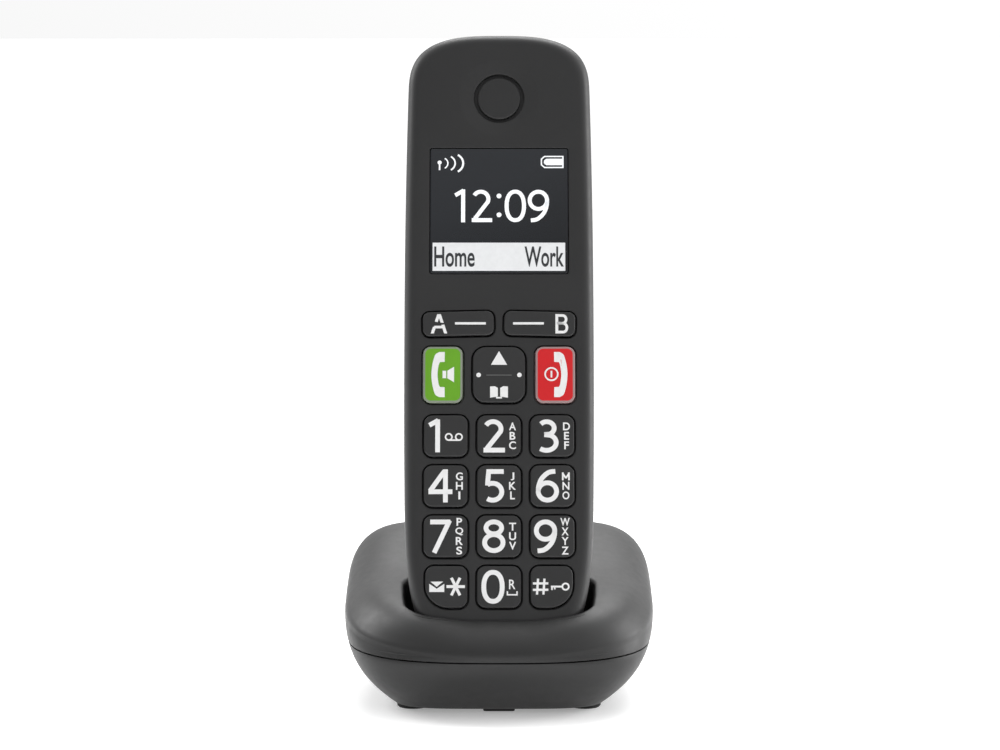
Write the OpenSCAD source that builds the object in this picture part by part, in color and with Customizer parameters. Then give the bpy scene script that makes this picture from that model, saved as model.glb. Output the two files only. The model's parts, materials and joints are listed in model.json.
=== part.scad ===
// Cordless telephone handset standing in its charging base.
// Millimetres, +Z up, the base's front towards -Y, the origin on the table under the middle of the base.

/* [Handset] */
// Length of the handset from its bottom end to its top end
hand_len = 165; // [150:1:175]
// Width of the handset at its middle
hand_w = 48.3; // [47.5:0.1:49.5]
// Height of the front plate above the parting plane
front_h = 8.5; // [8.5:0.1:9]
// Depth of the back below the parting plane
back_h = 13.5; // [13.3:0.1:14]
// Angle at which the docked handset leans back from upright
lean = 17; // [14:0.5:19]
// Wall thickness of the handset's shells
hand_wall = 1.5; // [1.3:0.1:1.6]

/* [Keys] */
// Distance between key columns
key_pitch_x = 13.4; // [13.3:0.1:14]
// Distance between key rows
key_pitch_y = 12.76; // [12.6:0.02:13]
// Width of a digit key
key_w = 11; // [10.5:0.1:11.8]
// Height of a digit key
key_h = 10.6; // [10:0.1:11.2]
// Gap between a key and its hole
key_gap = 0.35; // [0.2:0.05:0.4]
// How far a key stands proud of the front plate
key_proud = 0.7; // [0.7:0.1:1]

/* [Display] */
// Width of the display window
window_w = 35.2; // [33:0.1:36]
// Height of the display window
window_h = 32.8; // [31:0.1:33.5]

/* [Base] */
// Half the width of the base
base_half_w = 39.6; // [39:0.1:42]
// Half the depth of the base
base_half_d = 40; // [40:0.1:42]
// Height of the top plane at the cradle's front lip
lip_z = 24.5; // [24:0.1:26]
// Rise of the base's top from front to back, in degrees
top_slope = 15; // [14:0.5:16]
// Wall thickness of the base's shells
base_wall = 1.6; // [1.4:0.1:1.8]
// Height of the rubber feet below the underside
foot_h = 1.2; // [1:0.1:1.6]

/* [Hidden] */
$fn = 48;

// ---- colours
plastic_dark = [0.22, 0.22, 0.23];
plastic_key = [0.27, 0.27, 0.28];
key_green = [0.46, 0.70, 0.16];
key_red = [0.90, 0.02, 0.10];
board_green = [0.10, 0.35, 0.20];
metal = [0.75, 0.75, 0.77];
rubber_black = [0.07, 0.07, 0.07];

// ---- where the docked handset stands: its own frame has X right, Y up its length from the bottom
// end and Z out of its front, with Z = 0 on the parting plane between its shells
hand_y = -26;
hand_z = 9.5;

// ---- levels inside the handset, in its own frame
plate_t = 1.8;
plate_under = front_h - plate_t;
pcb_z = 2.1;
pcb_t = 1.2;
mat_z = 3.7;
key_base_z = 5.7;
flange_t = 0.7;
flange_w = 0.6;

// ---- key layout, in the handset's frame
row_0_y = 21.1;
call_row_y = 75.1;
softkey_y = 88.3;
softkey_tilt = 1.3;
window_y = 117.8;
ear_y = 147.6;

// ---- battery bay and door, in the handset's frame
bay_y = [50.5, 102.5];
bay_mid_y = (bay_y[0] + bay_y[1]) / 2;
bay_half_w = 12;
bay_wall = 1.2;
bay_floor_z = 0.6;
door_y = [49, 105];
door_len = door_y[1] - door_y[0];
door_mid_y = (door_y[0] + door_y[1]) / 2;
door_half_w = 16.4;
door_t = 1.4;
screw_x = 14.7;
screw_y = 97;
cell_r = 5.25;
cell_len = 44.5;
cell_z = -4.9;

// ---- charging contacts, in the handset's frame
plate_x = 8;
plate_zc = -4;
plate_face_y = 1.2;
contact_tip_y = 0.9;

// ---- base profile
lip_y = -31;
belt = 0.72;          // share of the height at which the base is widest
under_tuck = 12.3;    // how far the sides tuck in at the underside
shoulder = 14.5;      // how far the top's shoulder rounds in
front_share = 0.65;   // the front's shoulder, as a share of that
seam_z = 15.1;        // height of the seam below the lip's front
seam_y = -38;
seam_tilt = 3;
seam_gap = 0.3;
floor_t = 1.8;

// ---- cradle cup, in the handset's frame
cup_half_w = 24.4;
cup_z = [-14.2, 9.1];
cup_floor_y = -0.3;
cup_wall = 1.3;
cup_top_y = 60;

// ---- base interior
board_z = 14.2;
board_t = 1.2;
jack_mouth_y = 26.6;
page_x = 13;
page_y = 17;
page_travel_room = 1.1;
stem_len = 17;
page_w = 11;
page_h = 6.5;
foot_r = 4.1;
jack_x = 12.5;
jack_half_w = 6;
boss_at = [[-25, -3], [25, -3], [-23.5, 14], [23.5, 14]];

// ================= helpers =================

// Outline of a rectangle with four corner radii, from the upper right one anticlockwise
function rounded(w, h, r, steps = 5) = [
    for (k = [0 : 3], i = [0 : steps])
        let (a = 90 * (k + i / steps),
             sx = (k == 0 || k == 3) ? 1 : -1,
             sy = k < 2 ? 1 : -1,
             rr = is_list(r) ? r[k] : r)
        [sx * (w / 2 - rr) + rr * cos(a), sy * (h / 2 - rr) + rr * sin(a)]
];

// A slab with a rounded outline from z0 to z1
module slab(w, h, r, z0, z1, at = [0, 0]) {
    translate([at[0], at[1], z0]) linear_extrude(z1 - z0) polygon(rounded(w, h, r));
}

// A box from its lowest to its highest corner
module block(a, b) {
    translate(a) cube(b - a);
}

// Closes a stack of rings, each with the same number of points, into one solid
module loft(rings) {
    n = len(rings[0]);
    m = len(rings);
    polyhedron(
        points = [for (ring = rings) each ring],
        faces = concat(
            [[for (i = [0 : n - 1]) i]],
            [for (k = [0 : m - 2], i = [0 : n - 1]) [k * n + i, (k + 1) * n + i, k * n + (i + 1) % n]],
            [for (k = [0 : m - 2], i = [0 : n - 1])
                [k * n + (i + 1) % n, (k + 1) * n + i, (k + 1) * n + (i + 1) % n]],
            [[for (i = [n - 1 : -1 : 0]) (m - 1) * n + i]]
        )
    );
}

module in_handset() {
    translate([0, hand_y, hand_z]) rotate([90 - lean, 0, 0]) children();
}

// ================= handset shape =================

top_cap = 15.5;
bottom_cap = 43;

function cap_depth(y) = max(0, (y - hand_len + top_cap) / top_cap, (bottom_cap - y) / bottom_cap);

// Half width of the handset at the height y: slightly bowed sides and two cubic end caps
function half_width(y) =
    let (t = abs(y - hand_len / 2) / (hand_len / 2), d = min(1, cap_depth(y)))
    hand_w / 2 * (1 - 0.05 * pow(t, 2.2)) * pow(1 - pow(d, 3), 1 / 3);

hand_steps = 30;

// One ring round the handset, set in from the full outline
function hand_ring(inset, z) =
    let (ys = [for (i = [0 : hand_steps]) hand_len / 2 * (1 - cos(180 * i / hand_steps))],
         k = 1 - 2 * inset / hand_w,
         side = [for (y = ys) [k * half_width(y), inset + y * (1 - 2 * inset / hand_len)]])
    [for (i = [0 : hand_steps]) [side[i][0], side[i][1], z],
     for (i = [hand_steps - 1 : -1 : 1]) [-side[i][0], side[i][1], z]];

// Rounded edge of the front and of the back: [inset, height] pairs
front_profile = [[0, 0], [0, 4.5], [0.3, 6.5], [0.9, 7.6], [1.9, 8.3], [3.2, front_h]];
back_profile = [[7.5, -back_h], [4.6, -12.7], [2.4, -10.5], [0.9, -7], [0.2, -3], [0, 0]];
front_hollow = [[1.5, -0.1], [1.5, 4.2], [2, 5.9], [3, plate_under]];
back_hollow = [[8.5, -back_h + hand_wall], [6, -11.3], [3.9, -9.6], [2.4, -6.8], [1.7, -3], [1.5, 0.1]];

module hand_loft(profile) {
    loft([for (p = profile) hand_ring(p[0], p[1])]);
}

// ================= keys =================

// Digit keys by column 0 to 2 and row 0 (star, 0, hash) to 3 (1, 2, 3)
function key_y(row) = row_0_y + row * key_pitch_y;
function outer_edge(y) = min(key_pitch_x + key_w / 2, half_width(y) - 4);
function side_w(row) = outer_edge(key_y(row)) - key_pitch_x + key_w / 2;
function digit_w(col, row) = col == 1 ? key_w : side_w(row);
function digit_x(col, row) = col == 1 ? 0 : (col - 1) * (key_pitch_x + (side_w(row) - key_w) / 2);
key_r = 2.2;
low_corner_r = 5.8;
function low_key_r(col) = [key_r, key_r, col == 0 ? low_corner_r : key_r, col == 2 ? low_corner_r : key_r];
function digit_r(col, row) = row > 0 || col == 1 ? key_r : low_key_r(col);

// [x, y, width, height, corner radius] of each key, and the turn of a softkey
softkeys = [for (s = [-1, 1]) [s * 10.3, softkey_y, 18, 6.3, 1.8, -s * softkey_tilt]];
call_keys = [for (s = [-1, 1]) [s * 14.2, call_row_y, 10, 14.5, 2]];
nav = [0, call_row_y, 13.2, 14.3, 3.2];
digits = [for (row = [0 : 3], col = [0 : 2])
    [digit_x(col, row), key_y(row), digit_w(col, row), key_h, digit_r(col, row)]];
all_keys = concat(softkeys, call_keys, [nav], digits);

// A slab with a key's outline, grown on every side
module key_slab(k, grow, z0, z1) {
    translate([k[0], k[1], 0]) rotate([0, 0, len(k) > 5 ? k[5] : 0])
        slab(k[2] + 2 * grow, k[3] + 2 * grow, k[4], z0, z1);
}

// A key cap with a flange that keeps it under the front plate
module key_cap(k) {
    top = front_h + key_proud;
    bevel = 0.3;
    key_slab(k, flange_w, key_base_z, key_base_z + flange_t);
    key_slab(k, 0, key_base_z + flange_t, top - bevel);
    key_slab(k, -bevel, top - bevel, top);
}

module digit_key(col, row) {
    color(plastic_key) in_handset() key_cap(digits[row * 3 + col]);
}

module key_1() { digit_key(0, 3); }
module key_2() { digit_key(1, 3); }
module key_3() { digit_key(2, 3); }
module key_4() { digit_key(0, 2); }
module key_5() { digit_key(1, 2); }
module key_6() { digit_key(2, 2); }
module key_7() { digit_key(0, 1); }
module key_8() { digit_key(1, 1); }
module key_9() { digit_key(2, 1); }
module key_star() { digit_key(0, 0); }
module key_0() { digit_key(1, 0); }
module key_hash() { digit_key(2, 0); }

module softkey_a() { color(plastic_key) in_handset() key_cap(softkeys[0]); }
module softkey_b() { color(plastic_key) in_handset() key_cap(softkeys[1]); }
module talk_key() { color(key_green) in_handset() key_cap(call_keys[0]); }
module end_key() { color(key_red) in_handset() key_cap(call_keys[1]); }

// The four-way key rocks on a small post, so its flange sits lower and it has a pocket underneath
module nav_key() {
    top = front_h + key_proud;
    color(plastic_key) in_handset() difference() {
        union() {
            slab(nav[2] + 1, nav[3] + 1, nav[4], 5.5, 6, [nav[0], nav[1]]);
            slab(nav[2], nav[3], nav[4], 6, top - 0.3, [nav[0], nav[1]]);
            slab(nav[2] - 0.6, nav[3] - 0.6, nav[4], top - 0.3, top, [nav[0], nav[1]]);
        }
        translate([0, call_row_y, 5]) cylinder(h = 2.4, r = 3);
    }
}

module nav_pivot() {
    color(plastic_dark) in_handset() translate([0, call_row_y, 5.1]) {
        cylinder(h = 0.9, r = 2.4);
        cylinder(h = 1.9, r = 1.6);
    }
}

// ================= handset casing =================

module screw_boss(r, z0, z1) {
    for (s = [-1, 1]) translate([s * screw_x, screw_y, z0]) cylinder(h = z1 - z0, r = r);
}

module handset_front_shell() {
    ledge = 1.8;
    color(plastic_dark) in_handset() difference() {
        union() {
            difference() {
                hand_loft(front_profile);
                hand_loft(front_hollow);
            }
            screw_boss(2.3, 3.5, plate_under + 0.2);
        }
        for (k = all_keys) key_slab(k, key_gap, plate_under - 1, front_h + 1);
        slab(window_w + 0.3, window_h + 0.3, 0.7, 7.15, front_h + 1, [0, window_y]);
        slab(window_w - 2 * ledge, window_h - 2 * ledge, 0.5, 5, front_h, [0, window_y]);
        // dished surround of the earpiece and the hole for its cover
        translate([0, ear_y, front_h]) rotate_extrude($fn = 96)
            polygon([[0, -0.9], [3, -0.83], [6, -0.6], [8.4, -0.31], [10.4, 0], [10.4, 1], [0, 1]]);
        translate([0, ear_y, 5]) cylinder(h = 5, r = 6.5);
        translate([0, 6.5, 5]) cylinder(h = 5, r = 0.6);
        screw_boss(0.9, 3, 6.3);
    }
}

module handset_rear_shell() {
    color(plastic_dark) in_handset() difference() {
        union() {
            difference() {
                hand_loft(back_profile);
                hand_loft(back_hollow);
            }
            // battery bay and the ledge that the door lies on
            block([-bay_half_w - bay_wall, bay_y[0] - bay_wall, -12.05],
                [bay_half_w + bay_wall, bay_y[1] + bay_wall, bay_floor_z + 1]);
            slab(2 * door_half_w + 3.6, door_len + 3.4, 3, -12.05, -11, [0, door_mid_y]);
            screw_boss(2.3, -11.5, 1.9);
        }
        slab(2 * door_half_w + 0.4, door_len + 0.4, 2.2, -15, -12, [0, door_mid_y]);
        block([-bay_half_w, bay_y[0], -15], [bay_half_w, bay_y[1], bay_floor_z]);
        screw_boss(1, -15, 3);
        screw_boss(1.8, -15, -11.4);
        for (i = [-2 : 2]) slab(13 - 1.5 * abs(i), 1.2, 0.55, -15, -11.5, [0, 120 + 2.6 * i]);
        for (s = [-1, 1])
            block([s * plate_x - 2.15, -1, plate_zc - 2.15], [s * plate_x + 2.15, 4, plate_zc + 2.15]);
    }
}

module battery_door() {
    color(plastic_dark) in_handset() difference() {
        slab(2 * door_half_w, door_len, 2, -back_h, -back_h + door_t, [0, door_mid_y]);
        // grip grooves at the upper end
        for (i = [0 : 4]) slab(12, 0.8, 0.35, -15, -back_h + 0.4, [0, door_y[1] - 5 - 1.8 * i]);
    }
}

module handset_screws() {
    color(metal) in_handset() for (s = [-1, 1]) translate([s * screw_x, screw_y, -12]) difference() {
        union() {
            cylinder(h = 0.55, r = 1.6);
            cylinder(h = 17.6, r = 0.8);
        }
        translate([0, 0, -1]) cylinder(h = 1.3, r = 0.8, $fn = 6);
    }
}

// ================= display and earpiece =================

module display_window() {
    color([0.1, 0.12, 0.14]) in_handset() slab(window_w, window_h, 0.6, 7.2, front_h - 0.1, [0, window_y]);
}

module display_panel() {
    color([0.2, 0.24, 0.28]) in_handset() slab(33.5, 31, 0.5, 5, 6.6, [0, window_y]);
}

module display_backlight() {
    color("white") in_handset() slab(33.5, 31, 0.5, 3.4, 4.9, [0, window_y]);
}

// A disc in the dish, held by three spokes on a ring behind the front plate
module earpiece_cover() {
    color(plastic_dark) in_handset() translate([0, ear_y, 0]) {
        translate([0, 0, 6]) cylinder(h = 2, r = 5.5);
        translate([0, 0, 6]) difference() {
            cylinder(h = 0.6, r = 7.6);
            translate([0, 0, -1]) cylinder(h = 3, r = 6.4);
        }
        for (a = [90, 210, 330]) rotate([0, 0, a]) block([5, -0.8, 6], [7, 0.8, 6.6]);
    }
}

module receiver_capsule() {
    color(metal) in_handset() translate([0, ear_y, 3.4]) {
        cylinder(h = 2, r = 6.5);
        cylinder(h = 2.5, r = 5);
    }
}

// ================= keypad =================

module keypad_mat() {
    color([0.55, 0.55, 0.55]) in_handset() {
        difference() {
            slab(40, 79, 5, mat_z, mat_z + 0.5, [0, 54]);
            for (s = [-1, 1]) block([s * 20 - 6, 10, 3], [s * 20 + 6, 19, 5]);
        }
        for (k = all_keys) slab(k[2] * 0.6, k[3] * 0.6, 1.2, mat_z + 0.5, mat_z + 1, [k[0], k[1]]);
    }
}

module dome_contacts() {
    color(metal) in_handset() {
        for (k = concat(digits, softkeys, call_keys)) translate([k[0], k[1], pcb_z + pcb_t]) {
            cylinder(h = 0.15, r = 2.4);
            cylinder(h = 0.3, r = 1.5);
        }
        for (a = [0 : 90 : 270]) translate([5 * cos(a), call_row_y + 5 * sin(a), pcb_z + pcb_t])
            cylinder(h = 0.3, r = 1.3);
    }
}

module handset_pcb() {
    half = [[13, 5.5], [18.6, 22], [20, 30], [20, 150], [15, 157]];
    n = len(half);
    color(board_green) in_handset() difference() {
        translate([0, 0, pcb_z]) linear_extrude(pcb_t)
            polygon(concat(half, [for (i = [n - 1 : -1 : 0]) [-half[i][0], half[i][1]]]));
        screw_boss(1.2, 0, 5);
    }
}

// ================= battery, sound and radio =================

module cell(x, up) {
    in_handset() translate([x, bay_mid_y, cell_z]) rotate([up ? -90 : 90, 0, 0]) {
        translate([0, 0, -cell_len / 2]) cylinder(h = cell_len - 0.8, r = cell_r);
        translate([0, 0, cell_len / 2 - 0.9]) cylinder(h = 0.9, r = 1.9);
    }
}

module battery_left() { color([0.2, 0.45, 0.3]) cell(-5.6, true); }
module battery_right() { color([0.2, 0.45, 0.3]) cell(5.6, false); }

// A flat plate at each cell's plus end and a sprung one at its minus end
module battery_contacts() {
    half = cell_len / 2;
    color(metal) in_handset() for (s = [-1, 1]) {
        translate([s * 5.6, bay_mid_y, cell_z]) rotate([s < 0 ? -90 : 90, 0, 0]) {
            translate([-4, -4, 25.3]) cube([8, 8, 0.5]);
            translate([0, 0, half + 0.1]) cylinder(h = 25.4 - half - 0.1, r = 2.4);
            translate([-4, -4, -25.8]) cube([8, 8, 0.5]);
            translate([0, 0, -25.4]) cylinder(h = 25.4 - half - 0.1, r1 = 3.6, r2 = 2);
        }
    }
}

module loudspeaker() {
    color(metal) in_handset() translate([0, 120, -11.9]) {
        cylinder(h = 2.6, r = 10);
        cylinder(h = 4.4, r = 6);
    }
}

module microphone() {
    color(metal) in_handset() translate([0, 6.5, pcb_z + pcb_t + 0.1]) cylinder(h = 2.2, r = 2);
}

module handset_antenna() {
    color(metal) in_handset() {
        block([-14, 154.4, pcb_z + pcb_t], [2, 155.6, pcb_z + pcb_t + 1.6]);
        block([-14, 152, pcb_z + pcb_t], [-12.8, 154.6, pcb_z + pcb_t + 1.6]);
    }
}

module handset_charge_plates() {
    color(metal) in_handset() for (s = [-1, 1]) {
        block([s * plate_x - 2, plate_face_y, plate_zc - 2], [s * plate_x + 2, 4.8, plate_zc + 2]);
        block([s * plate_x - 2.6, 4.7, plate_zc - 2.6], [s * plate_x + 2.6, 5.2, plate_zc + 2.6]);
    }
}

// ================= base shape =================

// Height of the base's sloping top plane at y
function top_z(y) = lip_z + (y - lip_y) * tan(top_slope);

// How far a ring at the share v of the height is set in: a tucked underside, a rounded shoulder
function base_inset(v) =
    v <= belt ? under_tuck * pow((belt - v) / belt, 2)
              : let (q = (v - belt) / (1 - belt)) shoulder * (1 - sqrt(max(0, 1 - q * q)));

function blend3(v, a, b, c) = v < belt ? a + (b - a) * v / belt : b + (c - b) * (v - belt) / (1 - belt);
function power_at(v, y_sign) = y_sign < 0 ? blend3(v, 4.5, 2.75, 3) : blend3(v, 4.5, 5, 7);
function signed_pow(a, p) = sign(a) * pow(abs(a), p);

base_steps = 72;

// One closed ring, a rounded square in plan, that lies in a plane because its height is linear in y
function base_ring(v, wall, z_low, drop) = [
    for (i = [0 : base_steps - 1])
        let (a = 360 * i / base_steps,
             p = 2 / power_at(v, sin(a)),
             inset = base_inset(v),
             front = sin(a) < 0 && v > belt ? front_share : 1,
             x = signed_pow(cos(a), p) * (base_half_w - wall - inset),
             y = signed_pow(sin(a), p) * (base_half_d - wall - inset * front))
        [x, y, z_low + (top_z(y) - drop - z_low) * v]
];

module base_loft(shares, wall = 0, z_low = foot_h, drop = 0) {
    loft([for (v = shares) base_ring(v, wall, z_low, drop)]);
}

lower_shares = [0, 0.06, 0.14, 0.24, 0.35, 0.47, 0.6, 0.72];
upper_shares = [0.4, 0.5, 0.6, 0.72, 0.79, 0.86, 0.92, 0.96, 0.985, 1];
room_shares = [0, 0.1, 0.22, 0.35, 0.5, 0.72, 0.86, 0.96, 1];
room_gap = 0.4;

// Everything above (or below) the seam plane, moved off it by half the seam's gap
module past_seam(above) {
    translate([0, seam_y, seam_z]) rotate([seam_tilt, 0, 0])
        translate([-60, -30, above ? seam_gap / 2 : -60 - seam_gap / 2]) cube([120, 130, 60]);
}

// ================= cradle cup =================

// Section across the handset's length: a rounded rectangle in X and Z
module cup_section(extra) {
    mid = (cup_z[0] + cup_z[1]) / 2;
    polygon([for (p = rounded(2 * (cup_half_w + extra), cup_z[1] - cup_z[0] + 2 * extra, 8 + extra, 8))
        [p[0], -p[1] - mid]]);
}

// Front view: the handset's tongue with some play, wider from there up
function tongue_x(y) = min(cup_half_w, half_width(y + 2.2) + 1.2);
module cup_outline(extra) {
    ys = [cup_floor_y + 0.6, 1.5, 4, 8, 13, 19, 26, cup_top_y];
    right = concat(
        [[7, cup_floor_y - extra]],
        [for (y = ys) [tongue_x(y) + extra, y - extra * (y < 13 ? 0.5 : 0)]]
    );
    n = len(right);
    polygon(concat(right, [for (i = [n - 1 : -1 : 0]) [-right[i][0], right[i][1]]]));
}

module cup_space(extra) {
    in_handset() intersection() {
        translate([0, cup_top_y, 0]) rotate([90, 0, 0]) linear_extrude(cup_top_y + 10) scale([1, -1])
            cup_section(extra);
        translate([0, 0, -20]) linear_extrude(35) cup_outline(extra);
    }
}

// Frame on the base's top plane at a point, with Z out of the surface
module on_top(x, y) {
    translate([x, y, top_z(y)]) rotate([top_slope, 0, 0]) children();
}

module at_bosses() {
    for (p = boss_at) translate([p[0], p[1], 0]) children();
}

module base_top_shell() {
    color(plastic_dark) difference() {
        union() {
            intersection() {
                difference() {
                    base_loft(upper_shares);
                    base_loft(upper_shares, base_wall, foot_h, base_wall);
                }
                past_seam(true);
            }
            // the cup ends at the outer surface above the seam and clear of the bottom shell below it
            intersection() {
                cup_space(cup_wall);
                union() {
                    intersection() {
                        base_loft(upper_shares);
                        past_seam(true);
                    }
                    base_loft(room_shares, base_wall + room_gap, foot_h + floor_t + room_gap, base_wall);
                }
            }
            for (p = boss_at) translate([p[0], p[1], board_z + board_t + 0.1])
                cylinder(h = top_z(p[1]) - board_z - board_t - 1.1, r = 3);
        }
        cup_space(0);
        in_handset() for (s = [-1, 1])
            block([s * plate_x - 1.4, -3, plate_zc - 0.9], [s * plate_x + 1.4, 3, plate_zc + 0.9]);
        on_top(page_x, page_y) slab(page_w + 0.5, page_h + 0.5, 3.4, -5, 3);
        at_bosses() cylinder(h = 24.5, r = 1.3);
    }
}

module base_bottom_shell() {
    color(plastic_dark) difference() {
        union() {
            intersection() {
                difference() {
                    base_loft(lower_shares);
                    base_loft(lower_shares, base_wall, foot_h + floor_t);
                }
                past_seam(false);
            }
            at_bosses() translate([0, 0, foot_h + floor_t - 0.2])
                cylinder(h = board_z - foot_h - floor_t + 0.1, r = 3.8);
            // stop that steadies the front edge
            block([-4, -25.4, 0.1], [4, -22, foot_h + 0.2]);
        }
        at_bosses() cylinder(h = board_z + 1, r = 1.3);
        at_bosses() translate([0, 0, -1]) cylinder(h = 4.5, r = 2.7);
        at_feet() translate([0, 0, -1]) cylinder(h = 2.55, r = foot_r + 0.15);
        for (s = [-1, 1]) block([s * jack_x - 5.6, jack_mouth_y - 3, 5.7], [s * jack_x + 5.6, 45, 13.5]);
    }
}

module at_feet() {
    for (s = [-1, 1]) {
        translate([s * 21.7, -18, 0]) children();
        translate([s * 18, 20, 0]) children();
    }
}

module rubber_feet() {
    color(rubber_black) at_feet() {
        cylinder(h = 0.4, r1 = foot_r - 0.4, r2 = foot_r);
        translate([0, 0, 0.4]) cylinder(h = 1.1, r = foot_r);
    }
}

module base_screws() {
    color(metal) at_bosses() difference() {
        union() {
            translate([0, 0, 1.7]) cylinder(h = 1.7, r = 2.5);
            translate([0, 0, 3.3]) cylinder(h = 20.7, r = 1.25);
        }
        cylinder(h = 2.8, r = 1.1, $fn = 6);
    }
}

// ================= base interior =================

module base_pcb() {
    color(board_green) difference() {
        slab(57, 35, 3, board_z, board_z + board_t, [0, 12.5]);
        at_bosses() translate([0, 0, board_z - 1]) cylinder(h = 4, r = 1.7);
    }
}

// A socket body with an open mouth to the back and contacts on its inner wall
module jack(x, mouth_w) {
    translate([x, jack_mouth_y, 0]) {
        difference() {
            block([-jack_half_w, -14, 5.2], [jack_half_w, 0, 14.1]);
            block([-mouth_w / 2, -12, 6.2], [mouth_w / 2, 1, 13]);
        }
        for (i = [-1.5 : 1 : 1.5]) block([1.3 * i - 0.3, -12.2, 12.4], [1.3 * i + 0.3, -4, 13.1]);
    }
}

module line_jack() { color([0.12, 0.12, 0.12]) jack(-jack_x, 10); }
module power_jack() { color([0.85, 0.85, 0.8]) jack(jack_x, 8); }

module base_antenna() {
    color(metal) for (s = [-1, 1]) {
        block([s * 27.2 - 0.3, 6, board_z + board_t], [s * 27.2 + 0.3, 22, board_z + board_t + 4]);
        block([s * 26.4 - 0.9, 21, board_z + board_t], [s * 26.4 + 0.9, 22, board_z + board_t + 4]);
    }
}

module paging_key() {
    color(plastic_key) on_top(page_x, page_y) {
        slab(page_w, page_h, 3.2, -2.6, 0.5);
        slab(page_w + 1.6, page_h + 1.6, 4, -2.7, -1.9);
        translate([0, 0, -stem_len]) cylinder(h = stem_len - 2.6, r = 1.5);
    }
}

module paging_switch() {
    y = page_y + stem_len * sin(top_slope);
    top = top_z(page_y) - stem_len * cos(top_slope) - 1.5 * sin(top_slope) - page_travel_room;
    color([0.15, 0.15, 0.15]) {
        block([page_x - 3, y - 3, board_z + board_t], [page_x + 3, y + 3, top - 0.5]);
        translate([page_x, y, top - 0.6]) cylinder(h = 0.6, r = 1.7);
    }
}

module contact_carrier() {
    color(plastic_dark) in_handset() difference() {
        block([-12.5, -4.6, -6.5], [12.5, -1.9, 0]);
        for (s = [-1, 1])
            block([s * plate_x - 1.4, -6, plate_zc - 0.9], [s * plate_x + 1.4, 0, plate_zc + 0.9]);
    }
}

// A blade with a rounded tip that comes up through the cup's floor
module charge_contact(s) {
    color(metal) in_handset() translate([s * plate_x, 0, plate_zc]) {
        block([-1, -4.4, -0.4], [1, contact_tip_y - 1, 0.4]);
        translate([0, contact_tip_y - 1, -0.4]) cylinder(h = 0.8, r = 1);
    }
}

module charge_contact_left() { charge_contact(-1); }
module charge_contact_right() { charge_contact(1); }

base_top_shell();
base_bottom_shell();
rubber_feet();
base_pcb();
line_jack();
power_jack();
base_screws();
base_antenna();
paging_switch();
contact_carrier();
paging_key();
charge_contact_left();
charge_contact_right();
handset_front_shell();
handset_rear_shell();
display_window();
display_panel();
display_backlight();
earpiece_cover();
receiver_capsule();
keypad_mat();
dome_contacts();
handset_pcb();
battery_left();
battery_right();
battery_contacts();
loudspeaker();
microphone();
handset_antenna();
handset_charge_plates();
handset_screws();
battery_door();
softkey_a();
softkey_b();
talk_key();
end_key();
nav_pivot();
nav_key();
key_1();
key_2();
key_3();
key_4();
key_5();
key_6();
key_7();
key_8();
key_9();
key_star();
key_0();
key_hash();
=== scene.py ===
import json
import math

import bmesh
import bpy
import numpy as np
from mathutils import Matrix, Vector
from mathutils.geometry import delaunay_2d_cdt


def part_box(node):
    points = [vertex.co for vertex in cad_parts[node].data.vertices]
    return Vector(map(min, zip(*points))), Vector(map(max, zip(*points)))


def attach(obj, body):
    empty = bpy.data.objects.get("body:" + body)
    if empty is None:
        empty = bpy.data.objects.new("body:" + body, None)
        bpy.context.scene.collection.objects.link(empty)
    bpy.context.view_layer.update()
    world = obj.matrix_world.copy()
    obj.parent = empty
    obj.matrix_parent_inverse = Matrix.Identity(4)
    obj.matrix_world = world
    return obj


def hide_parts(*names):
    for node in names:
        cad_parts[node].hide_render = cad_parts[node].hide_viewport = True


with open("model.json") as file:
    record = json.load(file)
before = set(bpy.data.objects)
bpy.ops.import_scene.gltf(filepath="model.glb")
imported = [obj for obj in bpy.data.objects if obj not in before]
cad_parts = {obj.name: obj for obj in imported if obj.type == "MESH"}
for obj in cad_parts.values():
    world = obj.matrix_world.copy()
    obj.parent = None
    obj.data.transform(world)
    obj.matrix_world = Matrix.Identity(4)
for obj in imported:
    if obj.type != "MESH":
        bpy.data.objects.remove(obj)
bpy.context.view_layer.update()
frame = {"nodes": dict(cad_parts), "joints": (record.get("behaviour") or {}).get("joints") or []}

MM = 0.001
TINY = 1e-4  # welding distance, in millimetres
SHARP, CASE_SHARP, KEY_SHARP = 32, 40, 50  # edges that turn by more than this many degrees are sharp
PLATE_WALL = 1.8

# ---- the handset's own frame, from the CAD, in millimetres
# X to the right, Y up its length from the bottom end, Z out of its front, 0 on the parting plane

JOINTS = {j["name"]: j for j in frame["joints"]}
RIGHT = np.array([1.0, 0.0, 0.0])
UP = np.array(JOINTS["handset_lift"]["axis"], float)
OUT = np.cross(RIGHT, UP)
HAND_AXES = np.array([RIGHT, UP, OUT])


def places(vertices):
    return np.array([v.co for v in vertices], float)


def node_points(node):
    """A CAD node's vertices in millimetres."""
    return places(frame["nodes"][node].data.vertices) / MM


def box_in(node, axes, origin):
    """Lowest and highest corner of a CAD node along other axes, in millimetres."""
    points = (node_points(node) - origin) @ axes.T
    return points.min(0), points.max(0)


front_low, front_high = box_in("handset_front_shell", HAND_AXES, np.zeros(3))
HAND_ORIGIN = np.array([0, front_low[1], front_low[2]]) @ HAND_AXES


def local_box(node):
    return box_in(node, HAND_AXES, HAND_ORIGIN)


def middle_and_size(node):
    """Middle and size of a CAD node in the handset's frame."""
    low, high = local_box(node)
    return (low + high) / 2, high - low


def placement(axes, origin):
    """Matrix from millimetres along some axes to metres in the shared frame."""
    turn = Matrix([list(axes[:, 0]), list(axes[:, 1]), list(axes[:, 2])]).to_4x4()
    return Matrix.Translation(Vector(origin * MM)) @ turn @ Matrix.Scale(MM, 4)


IN_HAND = placement(HAND_AXES, HAND_ORIGIN)
IN_BASE = Matrix.Scale(MM, 4)

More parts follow.
